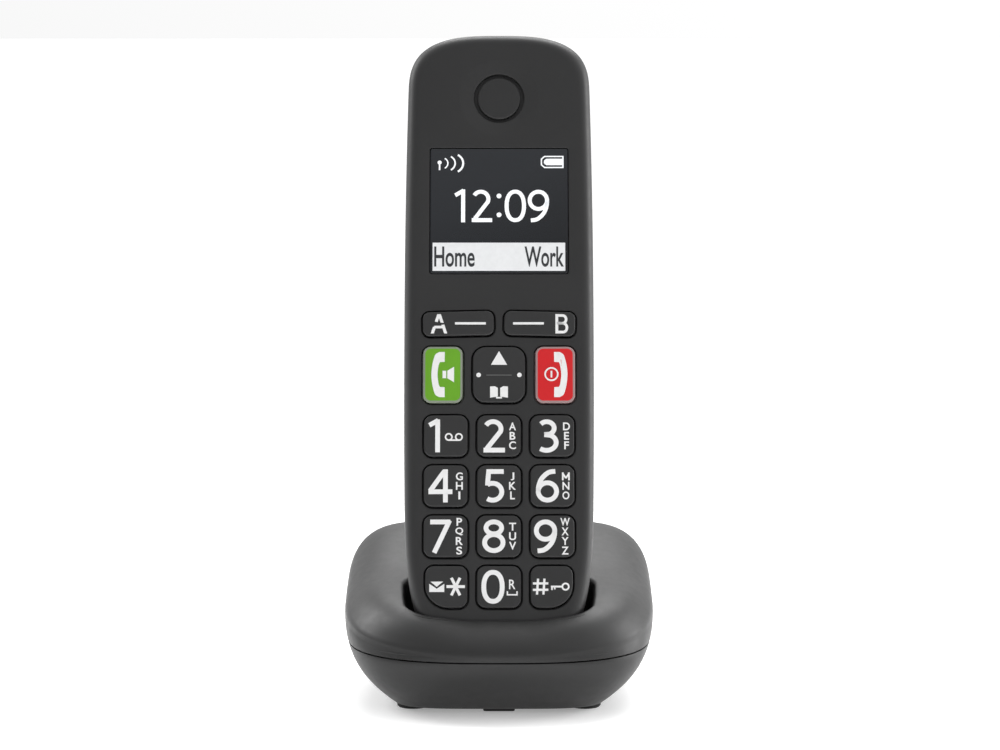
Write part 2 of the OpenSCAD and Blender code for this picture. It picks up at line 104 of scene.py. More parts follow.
HAND_LEN = front_high[1] - front_low[1]
HAND_W = front_high[0] - front_low[0]
FRONT_Z = front_high[2] - front_low[2]
BACK_Z = local_box("handset_rear_shell")[0][2]
PLATE_UNDER = FRONT_Z - PLATE_WALL

# ---- mesh helpers


class Shape:
    """Faces of one piece, gathered part by part, in millimetres."""

    def __init__(self):
        self.points, self.faces, self.materials, self.smooth = [], [], [], []

    def add(self, points, faces, material=0, smooth=True):
        start = len(self.points)
        self.points.extend([float(c) for c in p] for p in points)
        self.faces.extend([start + i for i in f] for f in faces)
        self.materials.extend([material] * len(faces))
        self.smooth.extend([smooth] * len(faces))

    def strips(self, rings, material=0, smooth=True):
        """Quads between closed rings that have the same number of points."""
        n = len(rings[0])
        faces = [
            (k * n + i, k * n + (i + 1) % n, (k + 1) * n + (i + 1) % n, (k + 1) * n + i)
            for k in range(len(rings) - 1)
            for i in range(n)
        ]
        self.add(np.vstack(rings), faces, material, smooth)

    def cap(self, ring, material=0, smooth=False, centre=None):
        """A fan of triangles that closes a ring."""
        n = len(ring)
        middle = np.mean(ring, axis=0) if centre is None else centre
        self.add([*ring, middle], [(i, (i + 1) % n, n) for i in range(n)], material, smooth)

    def region(self, outer, holes, z, material=0):
        """The flat region at height z inside an outline and outside its holes."""
        loops = [np.asarray(loop)[:, :2] for loop in [outer, *holes]]
        points, edges = [], []
        for loop in loops:
            n, start = len(loop), len(points)
            points.extend(Vector(p) for p in loop)
            edges.extend((start + i, start + (i + 1) % n) for i in range(n))
        found = delaunay_2d_cdt(points, edges, [], 1, 1e-7)
        flat = np.array([[v.x, v.y] for v in found[0]])
        faces = np.array(found[2])
        centres = flat[faces].mean(1)
        keep = inside(centres, loops[0])
        for hole in loops[1:]:
            keep &= ~inside(centres, hole)
        self.add(np.column_stack([flat, np.full(len(flat), z)]), faces[keep].tolist(), material, False)


def inside(points, loop):
    """Which points lie inside a closed loop, by counting crossings."""
    crossings = np.zeros(len(points), int)
    for (ax, ay), (bx, by) in zip(loop, np.roll(loop, -1, axis=0)):
        if ay == by:
            continue
        spans = (points[:, 1] >= min(ay, by)) & (points[:, 1] < max(ay, by))
        x = ax + (points[:, 1] - ay) * (bx - ax) / (by - ay)
        crossings += spans & (x > points[:, 0])
    return crossings % 2 == 1


def link(name, data):
    """A new object in the scene."""
    item = bpy.data.objects.new(name, data)
    bpy.context.scene.collection.objects.link(item)
    return item


def slab(rings, smooth=True):
    """A closed shape round some rings, the first and the last of them filled flat."""
    shape = Shape()
    shape.strips(rings, smooth=smooth)
    for ring in (rings[0], rings[-1]):
        shape.region(ring, [], ring[0][2])
    return shape


def new_object(name, mesh, materials):
    for material in materials:
        mesh.materials.append(material)
    return link(name, mesh)


def piece_of(name, shape, place, materials, sharp=SHARP):
    """Welds a shape, turns its faces outward and puts it in the shared frame."""
    mesh = bpy.data.meshes.new(name)
    mesh.from_pydata(shape.points, [], shape.faces)
    mesh.polygons.foreach_set("material_index", shape.materials)
    mesh.polygons.foreach_set("use_smooth", shape.smooth)
    work = bmesh.new()
    work.from_mesh(mesh)
    bmesh.ops.remove_doubles(work, verts=work.verts, dist=TINY)
    bmesh.ops.dissolve_degenerate(work, edges=work.edges, dist=TINY / 10)
    loose = [v for v in work.verts if not v.link_faces]
    bmesh.ops.delete(work, geom=loose, context="VERTS")
    bmesh.ops.recalc_face_normals(work, faces=work.faces)
    work.to_mesh(mesh)
    work.free()
    mesh.transform(place)
    mesh.set_sharp_from_angle(angle=math.radians(sharp))
    return new_object(name, mesh, materials)


def carve(piece, solid, operation="DIFFERENCE", sharp=SHARP):
    """Cuts a closed solid out of a piece, or joins it on, and keeps the result as the piece's mesh."""
    change = piece.modifiers.new("carve", "BOOLEAN")
    change.operation = operation
    change.solver = "EXACT"
    change.object = solid
    settle(piece)
    bpy.data.objects.remove(solid)
    piece.data.set_sharp_from_angle(angle=math.radians(sharp))


def evaluated(item):
    """A new mesh of an object with its modifiers."""
    graph = bpy.context.evaluated_depsgraph_get()
    return bpy.data.meshes.new_from_object(item.evaluated_get(graph))


def settle(piece):
    """Turns a piece's modifiers into its mesh."""
    mesh = evaluated(piece)
    piece.modifiers.clear()
    piece.data = mesh


def casing(name, shape, place, material, node, body=None):
    """A part of the outside that takes a CAD node's place."""
    piece = piece_of(name, shape, place, [material], CASE_SHARP)
    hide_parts(node)
    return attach(piece, body) if body else piece


def thicken(piece, wall):
    """Gives a skin a wall on its inner side."""
    change = piece.modifiers.new("wall", "SOLIDIFY")
    change.thickness = wall * MM
    change.offset = -1
    change.use_rim = True
    settle(piece)


# ---- outlines


def rounded(w, h, r, steps=8):
    """A rectangle with rounded corners, anticlockwise from the upper right one."""
    radii = r if isinstance(r, (list, tuple)) else [r] * 4
    points = []
    for k, (sx, sy) in enumerate([(1, 1), (-1, 1), (-1, -1), (1, -1)]):
        cx, cy = sx * (w / 2 - radii[k]), sy * (h / 2 - radii[k])
        for i in range(steps + 1):
            a = math.pi / 2 * (k + i / steps)
            points.append((cx + radii[k] * math.cos(a), cy + radii[k] * math.sin(a)))
    return np.array(points)


def squared_off(value, power):
    """A sine or cosine made flatter, for outlines that are squarer than a circle."""
    return np.sign(value) * np.abs(value) ** (2 / power)


def circle(r, steps):
    a = np.linspace(0, 2 * math.pi, steps, endpoint=False)
    return np.column_stack([r * np.cos(a), r * np.sin(a)])


class Opening:
    """A rounded rectangle that can be drawn larger or smaller round the same middle."""

    def __init__(self, x, y, w, h, r, tilt=0.0):
        self.x, self.y, self.w, self.h = x, y, w, h
        self.r = r if isinstance(r, list) else [r] * 4
        self.tilt = tilt

    def ring(self, grow, z):
        """The outline grown by a distance on every side, at height z."""
        radii = [max(r + grow, 0.12) for r in self.r]
        flat = rounded(self.w + 2 * grow, self.h + 2 * grow, radii)
        c, s = math.cos(self.tilt), math.sin(self.tilt)
        return level(flat @ np.array([[c, s], [-s, c]]) + [self.x, self.y], z)


def opening_of(node, grow, r):
    """A node's outline seen from the front, made wider and longer."""
    middle, size = middle_and_size(node)
    return Opening(middle[0], middle[1], size[0] + grow, size[1] + grow, r)


def level(flat, z):
    return np.column_stack([flat, np.full(len(flat), float(z))])


def arc_steps(n):
    """Sine and cosine pairs over a quarter turn."""
    return [(math.sin(a), math.cos(a)) for a in np.linspace(0, math.pi / 2, n + 1)]


def outer_edge(ring, fillet, face, steps, up=1):
    """Rings of a rounded edge that leads from a side onto a face, upward or downward."""
    return [ring(-fillet * (1 - c), face - up * fillet * (1 - s)) for s, c in arc_steps(steps)]


def inner_edge(ring, fillet, face, steps, up=1, gap=0.0):
    """Rings of a rounded edge that leads from a face into an opening."""
    return [ring(gap + fillet * (1 - s), face - up * fillet * (1 - c)) for s, c in arc_steps(steps)]


def round_ring(r, y, steps):
    """A circle on the handset's middle line, as a ring that can be grown."""
    return lambda grow, z: level(circle(r + grow, steps) + [0, y], z)


# ---- materials

NOISE_SPAN = (0.3, 0.7)  # where nearly all values of a noise texture lie
PLASTIC_IOR = 1.46
FINE, MATT, DEEP = 0.000005, 0.000012, 0.00003  # depth of a surface's grain, in metres


def feed(tree, node, inputs):
    """Sets a node's inputs, or links those that are given another node's output."""
    for name, value in inputs.items():
        socket = node.inputs[name]
        if isinstance(value, bpy.types.NodeSocket):
            tree.links.new(value, socket)
        else:
            socket.default_value = value


def add_node(tree, kind, inputs):
    node = tree.nodes.new("ShaderNode" + kind)
    feed(tree, node, inputs)
    return node


def node_material(name):
    material = bpy.data.materials.new(name)
    material.use_nodes = True
    tree = material.node_tree
    coordinates = tree.nodes.new("ShaderNodeTexCoord").outputs["Object"]
    return material, tree, tree.nodes["Principled BSDF"], coordinates


def noise(tree, coordinates, scale, detail=2.0, roughness=0.5):
    settings = {"Scale": scale, "Detail": detail, "Roughness": roughness, "Vector": coordinates}
    return add_node(tree, "TexNoise", settings).outputs["Fac"]


def map_range(tree, value, source, target=(0.0, 1.0)):
    """Maps a value from one range to another."""
    names = ("From Min", "From Max", "To Min", "To Max", "Value")
    return add_node(tree, "MapRange", dict(zip(names, (*source, *target, value)))).outputs["Result"]


def ramp(tree, value, colors, span=NOISE_SPAN):
    node = add_node(tree, "ValToRGB", {"Fac": value})
    for stop, place, color in zip(node.color_ramp.elements, span, colors):
        stop.position, stop.color = place, (*color, 1)
    return node.outputs["Color"]


def grey(v):
    return (v, v, v)


def scaled(color, k):
    return tuple(min(1.0, c * k) for c in color)


def bump(tree, shader, height, strength, distance):
    node = add_node(tree, "Bump", {"Strength": strength, "Distance": distance, "Height": height})
    tree.links.new(node.outputs["Normal"], shader.inputs["Normal"])


def moulded(name, color, rough, vary=0.08, grain=2600, depth=MATT, coat=0.0):
    """Moulded plastic: a slight cloudiness in colour and gloss over a fine spark-eroded grain."""
    material, tree, shader, coordinates = node_material(name)
    cloud = noise(tree, coordinates, 55, 3)
    gloss = noise(tree, coordinates, 420, 4, 0.6)
    feed(tree, shader, {
        "Base Color": ramp(tree, cloud, [scaled(color, 1 - vary), scaled(color, 1 + vary)]),
        "Roughness": map_range(tree, gloss, NOISE_SPAN, (rough * 0.93, rough * 1.07)),
        "IOR": PLASTIC_IOR,
        "Coat Weight": coat,
        "Coat Roughness": 0.25,
    })
    bump(tree, shader, noise(tree, coordinates, grain, 2), 0.5, depth)
    return material


def metal(name, color, rough):
    """Plated metal with fine drawn streaks."""
    material, tree, shader, coordinates = node_material(name)
    stretch = add_node(tree, "Mapping", {"Scale": (1, 12, 1), "Vector": coordinates})
    streaks = noise(tree, stretch.outputs["Vector"], 900, 3)
    feed(tree, shader, {
        "Base Color": ramp(tree, streaks, [scaled(color, 0.86), color]),
        "Roughness": map_range(tree, streaks, NOISE_SPAN, (rough * 0.8, rough * 1.3)),
        "Metallic": 1.0,
    })
    bump(tree, shader, streaks, 0.2, 0.000008)
    return material


def printed(name, color, glow=0.0):
    """Ink, or a lit mark on the display."""
    material, tree, shader, coordinates = node_material(name)
    tones = ramp(tree, noise(tree, coordinates, 900, 2), [scaled(color, 0.95), color])
    feed(tree, shader, {"Base Color": tones, "Roughness": 0.45})
    if glow:
        feed(tree, shader, {"Emission Color": tones, "Emission Strength": glow})
    return material


def board_material(name, color):
    """Solder mask over copper tracks."""
    material, tree, shader, coordinates = node_material(name)
    cells = add_node(tree, "TexVoronoi", {"Scale": 260, "Vector": coordinates})
    cells.distance = "CHEBYCHEV"
    tracks = ramp(tree, cells.outputs["Distance"], [scaled(color, 1.8), color])
    feed(tree, shader, {"Base Color": tracks, "Roughness": 0.35})
    bump(tree, shader, cells.outputs["Distance"], 0.3, DEEP)
    return material


def display_painted_sheen_material(name):
    """Dark display behind its window, with a painted sheen that makes its colour a little lighter towards its
    upper left.
    """
    material, tree, shader, coordinates = node_material(name)
    low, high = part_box("display_window")
    split = add_node(tree, "SeparateXYZ", {"Vector": coordinates}).outputs
    leftward = map_range(tree, split["X"], (high.x, low.x))
    upward = map_range(tree, split["Z"], (low.z, high.z))
    # painted sheen: a share that grows towards the left and the top, which lightens the colour there
    painted_sheen = add_node(tree, "Math", {0: leftward, 1: 0.55, 2: upward})
    painted_sheen.operation = "MULTIPLY_ADD"
    tones = ramp(tree, painted_sheen.outputs["Value"], [(0.003, 0.004, 0.006), (0.012, 0.014, 0.018)], (0.1, 1.0))
    feed(tree, shader, {"Base Color": tones, "Roughness": 0.16, "IOR": PLASTIC_IOR})
    return material


CALL_KEY = {"rough": 0.4, "vary": 0.04, "depth": FINE, "coat": 0.2}
CALL_RIM = {"rough": 0.3, "vary": 0.05, "depth": 0.000004, "coat": 0.3}
SHELL = moulded("shell_plastic", (0.0145, 0.0145, 0.015), 0.5)
BASE_PLASTIC = moulded("base_plastic", (0.012, 0.012, 0.0122), 0.46)
KEY = moulded("key_plastic", (0.019, 0.019, 0.0195), 0.36, grain=1600, depth=FINE)
INNER = moulded("inner_plastic", grey(0.012), 0.6)
GREEN = moulded("key_green", (0.115, 0.335, 0.004), **CALL_KEY)
RED = moulded("key_red", (0.58, 0.0, 0.004), **CALL_KEY)
GREEN_RIM = moulded("key_green_rim", (0.2, 0.23, 0.175), **CALL_RIM)
RED_RIM = moulded("key_red_rim", (0.3, 0.2, 0.2), **CALL_RIM)
INK = printed("legend_ink", grey(0.8))
FAINT = moulded("key_groove", grey(0.09), 0.5)
LIT = printed("display_lit", (0.86, 0.88, 0.9), 0.25)
LABEL = printed("display_label", (0.74, 0.75, 0.76), 0.1)
DARK_PIXEL = printed("display_dark", (0.02, 0.022, 0.026))
# display colour with a painted sheen, lighter towards its upper left
SCREEN = display_painted_sheen_material("display_screen_painted_sheen")
STEEL = metal("steel", (0.62, 0.62, 0.63), 0.3)
NICKEL = metal("contact_nickel", (0.72, 0.69, 0.62), 0.22)
BOARD = board_material("board", (0.015, 0.11, 0.045))
RUBBER = moulded("foot_rubber", grey(0.012), 0.8, grain=1500, depth=DEEP)
SILICONE = moulded("mat_rubber", grey(0.3), 0.6)
SLEEVE = moulded("cell_sleeve", (0.04, 0.22, 0.1), 0.3, depth=0.000003, coat=0.5)
SOCKET = moulded("socket_plastic", grey(0.02), 0.5)
PALE_SOCKET = moulded("power_socket_plastic", (0.09, 0.09, 0.085), 0.5)
GUIDE = moulded("light_guide", (0.75, 0.76, 0.76), 0.25)

# ---- handset outline

TOP_CAP, BOTTOM_CAP = 15.5, 43.0
BOW, BOW_POWER, CAP_POWER = 0.05, 2.2, 3


def side_x(y):
    """Half width of the handset's bowed side, before its end caps."""
    t = np.abs(np.asarray(y, float) - HAND_LEN / 2) / (HAND_LEN / 2)
    return HAND_W / 2 * (1 - BOW * t**BOW_POWER)


def half_width(y):
    y = np.asarray(y, float)
    depth = np.clip(np.maximum((y - HAND_LEN + TOP_CAP) / TOP_CAP, (BOTTOM_CAP - y) / BOTTOM_CAP), 0, 1)
    return side_x(y) * (1 - depth**CAP_POWER) ** (1 / CAP_POWER)


def hand_outline():
    """The handset's outline from the middle of its bottom end, anticlockwise."""
    p = 2 / CAP_POWER
    turn = np.linspace(0, math.pi / 2, 34)
    y_low = BOTTOM_CAP * (1 - np.cos(turn[:-1]) ** p)
    x_low = side_x(y_low) * np.sin(turn[:-1]) ** p
    y_side = np.linspace(BOTTOM_CAP, HAND_LEN - TOP_CAP, 40)
    y_top = HAND_LEN - TOP_CAP + TOP_CAP * np.sin(turn[1:]) ** p
    x_top = side_x(y_top) * np.cos(turn[1:]) ** p
    right = np.column_stack([
        np.concatenate([x_low, side_x(y_side), x_top]),
        np.concatenate([y_low, y_side, y_top]),
    ])
    left = right[-2:0:-1] * [-1, 1]
    return np.vstack([right, left])


HAND_OUTLINE = hand_outline()


def hand_ring(inset, z):
    k = [1 - 2 * inset / HAND_W, 1 - 2 * inset / HAND_LEN]
    return level(HAND_OUTLINE * k + [0, inset], z)


def hand_rings(pairs):
    return [hand_ring(inset, z) for inset, z in pairs]


def round_edge(inset, low, high, power, steps=14):
    """[inset, height] pairs of a rounded edge from the side at low to the face at high."""
    p = 2 / power
    return [(inset * (1 - c**p), low + (high - low) * s**p) for s, c in arc_steps(steps)]


EDGE_GROOVE = 0.16
EDGE_LOW = 4.5  # height at which the front's rounded edge starts
FRONT_EDGE = round_edge(3.2, EDGE_LOW, FRONT_Z, 2.3)
BACK_EDGE = round_edge(7.5, 0, BACK_Z, 2.2, 18)

# ---- keys

KEY_NAMES = ["softkey_a", "softkey_b", "talk_key", "end_key", "nav_key"]
KEY_NAMES += ["key_" + k for k in "1 2 3 4 5 6 7 8 9 star 0 hash".split()]
FLANGE, NAV_FLANGE, GAP = 0.6, 0.5, 0.35
DIGIT_RADIUS, LOW_CORNER_RADIUS = 2.2, 5.8
KEY_RADIUS = {"softkey_a": 1.8, "softkey_b": 1.8, "talk_key": 2.0, "end_key": 2.0, "nav_key": 3.2}
KEY_RADIUS["key_star"] = [DIGIT_RADIUS, DIGIT_RADIUS, LOW_CORNER_RADIUS, DIGIT_RADIUS]
KEY_RADIUS["key_hash"] = [DIGIT_RADIUS, DIGIT_RADIUS, DIGIT_RADIUS, LOW_CORNER_RADIUS]
TILT = {"softkey_a": math.radians(1.3), "softkey_b": math.radians(-1.3)}
KEY_FILLET, KEY_CROWN = 0.34, 0.13
FLANGE_H, FLANGE_BEVEL = 0.7, 0.1
COLOURED_BORDER, PLAIN_BORDER, CROWN_START, LAST_RING = 0.22, 0.04, 0.5, 0.93
# insets of the rings of a key's top, as shares of the way from its edge to its middle
TOP_RINGS = (0.04, 0.12, 0.25, 0.4, 0.6, 0.8, 1.0)


def rim_of(name):
    return NAV_FLANGE if name == "nav_key" else FLANGE


def key_opening(name):
    """A key's outline, from the box of its slightly turned and flanged CAD node."""
    low, high = local_box(name)
    r = KEY_RADIUS.get(name, DIGIT_RADIUS)
    tilt = TILT.get(name, 0.0)
    corner = max(r) if isinstance(r, list) else r
    corner = corner if tilt else 0.0
    c, s = math.cos(tilt), abs(math.sin(tilt))
    half_x, half_y = (high[0] - low[0]) / 2 - corner, (high[1] - low[1]) / 2 - corner
    turned_back = c * c - s * s
    w = 2 * ((c * half_x - s * half_y) / turned_back + corner - rim_of(name))
    h = 2 * ((c * half_y - s * half_x) / turned_back + corner - rim_of(name))
    middle = (low + high) / 2
    return Opening(middle[0], middle[1], w, h, r, tilt)


OPENINGS = {name: key_opening(name) for name in KEY_NAMES}


def crown(opening, points, top):
    """Height of a key's slightly domed top over each point."""
    u = (points[:, 0] - opening.x) / (opening.w / 2)
    v = (points[:, 1] - opening.y) / (opening.h / 2)
    return top - KEY_CROWN * np.clip(1 - (1 - u**2) * (1 - v**2), 0, 1)


def key_piece(name, body_material, rim_material=None):
    """A key cap: flange, straight side, rounded edge and a slightly domed top."""
    k = OPENINGS[name]
    low, high = local_box(name)
    base, shelf, top = low[2], low[2] + FLANGE_H, high[2]
    rim, rim_slot = rim_of(name), 1 if rim_material else 0
    shape = Shape()
    skirt = [
        k.ring(rim, base), k.ring(rim, shelf - FLANGE_BEVEL), k.ring(rim - FLANGE_BEVEL, shelf),
        k.ring(0, shelf), k.ring(0, top - KEY_CROWN - KEY_FILLET),
    ]
    shape.strips(skirt, rim_slot)
    shape.cap(skirt[0], rim_slot)
    shape.strips(outer_edge(k.ring, KEY_FILLET, top - KEY_CROWN, 6), rim_slot)
    face_start = KEY_FILLET + (COLOURED_BORDER if rim_material else PLAIN_BORDER)
    reach = min(k.w, k.h) / 2 * LAST_RING - face_start
    rings = []
    for inset in (KEY_FILLET, face_start, *(face_start + reach * t for t in TOP_RINGS)):
        ring = k.ring(-inset, 0)
        rise = min(1.0, (inset - KEY_FILLET) / CROWN_START)
        ring[:, 2] = crown(k, ring, top) * rise + (top - KEY_CROWN) * (1 - rise)
        rings.append(ring)
    shape.strips(rings[:2], rim_slot)
    shape.strips(rings[1:])
    centre = np.array([[k.x, k.y, 0.0]])
    shape.cap(rings[-1], 0, True, [k.x, k.y, crown(k, centre, top)[0]])
    piece = piece_of(name + "_cap", shape, IN_HAND, [body_material, rim_material or body_material], KEY_SHARP)
    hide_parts(name)
    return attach(piece, name)


# ---- flat marks: print on keys and signs on the display

STEP = 1.2  # longest step along a stroke, short enough to follow a key's crown
PRINT = 0.035


class Mark:
    """Flat figures with a small thickness, drawn in millimetres round a middle point."""

    def __init__(self):
        self.points, self.faces = [], []

    def solid(self, outline):
        """A closed outline as a thin plate."""
        outline = [(float(x), float(y)) for x, y in outline]
        n, start = len(outline), len(self.points)
        self.points += [(x, y, 0.0) for x, y in outline] + [(x, y, 1.0) for x, y in outline]
        self.faces.append([start + n + i for i in range(n)])
        self.faces.append([start + i for i in reversed(range(n))])
        self.faces += [
            [start + i, start + (i + 1) % n, start + n + (i + 1) % n, start + n + i] for i in range(n)
        ]
        return self

    def bar(self, a, b, width):
        return self.stroke([a, b], width)

    def stroke(self, path, width):
        """A line of even width along a path, with pointed corners and square ends, in short steps."""
        p = np.array(path, float)
        steps = [max(1, math.ceil(np.linalg.norm(b - a) / STEP)) for a, b in zip(p, p[1:])]
        between = [np.linspace(a, b, n, endpoint=False) for a, b, n in zip(p, p[1:], steps)]
        closed = np.allclose(p[0], p[-1])
        p = np.vstack([*between, p[-1:]])
        along = np.diff(p, axis=0)
        along /= np.linalg.norm(along, axis=1)[:, None]
        normals = np.column_stack([-along[:, 1], along[:, 0]])
        before, after = np.vstack([normals[:1], normals]), np.vstack([normals, normals[-1:]])
        if closed:
            before[0], after[-1] = normals[-1], normals[0]
        side = before + after
        side *= (width / 2 / np.maximum((side * after).sum(1), 0.35))[:, None]
        start, count = len(self.points), len(p) - 1 if closed else len(p)
        for (lx, ly), (rx, ry) in zip((p + side)[:count], (p - side)[:count]):
            self.points += [(lx, ly, 0.0), (rx, ry, 0.0), (rx, ry, 1.0), (lx, ly, 1.0)]
        for i in range(len(p) - 1):
            a, b = start + 4 * i, start + 4 * ((i + 1) % count)
            self.faces += [[a + j, b + j, b + (j + 1) % 4, a + (j + 1) % 4] for j in range(4)]
        if not closed:
            last = start + 4 * (count - 1)
            self.faces += [[start + 3, start + 2, start + 1, start], [last, last + 1, last + 2, last + 3]]
        return self

    def band(self, centre, radius, width, start=0, end=360):
        """Part of a ring, or a whole one."""
        return self.stroke(arc(*centre, radius, radius, start, end, 24), width)

    def disc(self, centre, radius):
        return self.solid(circle(radius, 28) + centre)

    def glyph(self, text, centre, width, height, weight=0.0):
        """Characters of the built-in typeface, fitted to a width and height."""
        curve = bpy.data.curves.new("glyph", "FONT")
        curve.body = text
        curve.offset = weight
        curve.extrude = 0.5
        curve.resolution_u = 8
        holder = link("glyph", curve)
        mesh = evaluated(holder)
        bpy.data.objects.remove(holder)
        co = places(mesh.vertices)
        low, high = co.min(0), co.max(0)
        co[:, 0] = (co[:, 0] - (low[0] + high[0]) / 2) * width / (high[0] - low[0]) + centre[0]
        co[:, 1] = (co[:, 1] - (low[1] + high[1]) / 2) * height / (high[1] - low[1]) + centre[1]
        co[:, 2] = (co[:, 2] - low[2]) / (high[2] - low[2])
        start = len(self.points)
        self.points += co.tolist()
        self.faces += [[start + i for i in p.vertices] for p in mesh.polygons]
        return self

    def place(self, name, x, y, surface, thickness, material, body):
        """Lays the figures on a surface, given as a height over each point."""
        mesh = bpy.data.meshes.new(name)
        mesh.from_pydata(self.points, [], self.faces)
        work = bmesh.new()
        work.from_mesh(mesh)
        bmesh.ops.remove_doubles(work, verts=work.verts, dist=TINY)
        flat = places(work.verts) + [x, y, 0]
        heights = surface(flat) + thickness * (flat[:, 2] * 1.5 - 0.5)
        for v, p, z in zip(work.verts, flat, heights):
            v.co = (p[0], p[1], z)
        bmesh.ops.recalc_face_normals(work, faces=work.faces)
        work.to_mesh(mesh)
        work.free()
        mesh.transform(IN_HAND)
        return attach(new_object(name, mesh, [material]), body)


def print_on(name, mark, material=INK, suffix="_print"):
    """Print on a key's top, riding with the key."""
    k = OPENINGS[name]
    top = local_box(name)[1][2]
    return mark.place(name + suffix, k.x, k.y, lambda p: crown(k, p, top), PRINT, material, name)


def arc(x, y, rx, ry, start, end, steps=18, power=2.0):
    """Points of part of an ellipse, or of a squarer curve with a higher power."""
    a = np.radians(np.linspace(start, end, steps + 1))
    across = x + rx * squared_off(np.cos(a), power)
    return list(zip(across, y + ry * squared_off(np.sin(a), power)))


def smooth_curve(points, steps=5):
    """A curve through points, passing each one smoothly."""
    p = np.array([points[0], *points, points[-1]], float)
    found = []
    for i in range(1, len(p) - 2):
        for t in np.linspace(0, 1, steps, endpoint=False):
            a = 2 * p[i] + (p[i + 1] - p[i - 1]) * t
            b = (2 * p[i - 1] - 5 * p[i] + 4 * p[i + 1] - p[i + 2]) * t**2
            c = (3 * p[i] - p[i - 1] - 3 * p[i + 1] + p[i + 2]) * t**3
            found.append((a + b + c) / 2)
    return [*found, p[-2]]


# the lines that each digit is drawn with, through the middle of a stroke, for a digit 8.4 high
SIX_BACK = [(2.0, 3.7), (0.3, 3.4), (-1.35, 1.95), (-2.15, 0.1), (-2.3, -1.5)]
SIX = [arc(0, -1.42, 2.3, 2.2, 0, 360, 40), smooth_curve(SIX_BACK)]
DIGIT_LINES = {
    "0": [arc(0, 0, 2.3, 3.65, 0, 360, 48, 2.25)],
    "1": [[(-1.75, 2.7), (0.5, 3.95)], [(0.35, 4.2), (0.35, -4.2)]],
    "2": [[*arc(-0.3, 1.75, 2.0, 1.88, 150, -22), (-1.9, -3.3)], [(-2.7, -3.65), (2.7, -3.65)]],
    "3": [
        [*arc(-0.4, 1.95, 1.9, 1.66, 140, -70), (-1.0, 0.3)],
        [(-1.0, 0.3), *arc(-0.45, -1.72, 2.45, 2.0, 68, -130)],
    ],
    "4": [[(1.25, 4.2), (1.25, -4.2)], [(-3.0, -1.5), (3.0, -1.5)], [(-2.6, -1.3), (1.0, 3.75)]],
    "5": [[(2.5, 3.65), (-1.3, 3.65), (-1.6, 0.1)], arc(-0.3, -1.5, 2.3, 2.15, 124, -126)],
    "6": SIX,
    "7": [[(-2.65, 3.6), (2.4, 3.6)], [(2.25, 4.0), (-1.62, -4.2)]],
    "8": [arc(0, 2.1, 1.95, 1.52, 0, 360, 40), arc(0, -1.62, 2.3, 2.02, 0, 360, 40)],
    "9": [[(-x, -y) for x, y in line] for line in SIX],
}
DIGIT_H, DIGIT_STROKE = 8.4, 1.2
LETTER_W, LETTER_H, LETTER_PITCH, LETTER_WEIGHT = 1.75, 2.0, 2.42, 0.02
# digit: its middle across the key, the letters beside it and their middle
DIGIT_PLACES = {
    "2": (-1.2, "ABC", 3.4), "3": (-1.0, "DEF", 3.6), "4": (-1.3, "GHI", 3.45),
    "5": (-1.3, "JKL", 3.4), "6": (-1.25, "MNO", 3.4), "7": (-1.2, "PQRS", 3.45),
    "8": (-1.3, "TUV", 3.4), "9": (-1.75, "WXYZ", 3.15), "0": (-1.5, "", 0),
}
# letters that are not LETTER_W wide
WIDTHS = {
    "I": 0.5, "J": 0.9, "E": 1.25, "F": 1.2, "L": 1.2, "P": 1.4, "S": 1.45, "B": 1.45, "W": 2.35, "Q": 1.95,
}


def draw_digit(mark, digit, x, y=0.0, height=DIGIT_H, stroke=DIGIT_STROKE, narrow=1.0):
    k = (height - stroke) / (DIGIT_H - DIGIT_STROKE)
    for line in DIGIT_LINES[digit]:
        mark.stroke([(px * k * narrow + x, py * k + y) for px, py in line], stroke)
    return mark


def letter_stack(mark, letters, x):
    top = (len(letters) - 1) * LETTER_PITCH / 2
    for i, letter in enumerate(letters):
        y = top - i * LETTER_PITCH
        if letter == "M":
            half_w, half_h = 0.78, LETTER_H / 2
            for s in (-1, 1):
                mark.bar((x + s * half_w, y - half_h), (x + s * half_w, y + half_h), 0.42)
                mark.bar((x + s * half_w, y + half_h - 0.25), (x, y - 0.45), 0.42)
        else:
            mark.glyph(letter, (x, y), WIDTHS.get(letter, LETTER_W), LETTER_H, LETTER_WEIGHT)


def digit_marks():
    for digit, (x, letters, letters_x) in DIGIT_PLACES.items():
        mark = draw_digit(Mark(), digit, x)
        letter_stack(mark, letters, letters_x)
        if digit == "0":
            mark.glyph("R", (3.3, 0.6), 1.6, 2.4, 0.01)
            mark.stroke([(2.1, -1.1), (2.1, -2.0), (4.5, -2.0), (4.5, -1.1)], 0.34)
        print_on("key_" + digit, mark)


def one_mark():
    """The digit 1 and the sign for recorded messages."""
    mark = draw_digit(Mark(), "1", -2.4)
    for x in (0.75, 3.3):
        mark.band((x, -0.3), 0.81, 0.38)
    mark.bar((0.75, -1.11), (3.3, -1.11), 0.38)
    print_on("key_1", mark)


def star_mark():
    """A six-armed star and an envelope."""
    mark = Mark()
    middle = np.array([2.35, 0.05])
    for a in (0, 64, 116):
        arm = np.array([math.cos(math.radians(a)), math.sin(math.radians(a))]) * (2.3 if a == 0 else 2.45)
        mark.bar(middle + arm, middle - arm, 0.72)
    left, right, low, high = -4.25, -0.5, -1.3, 1.3
    fold = (left + right) / 2
    mark.solid([(left, low), (right, low), (right, high - 0.55), (fold, -0.5), (left, high - 0.55)])
    mark.solid([(left + 0.3, high), (fold, 0.0), (right - 0.3, high)])
    print_on("key_star", mark)


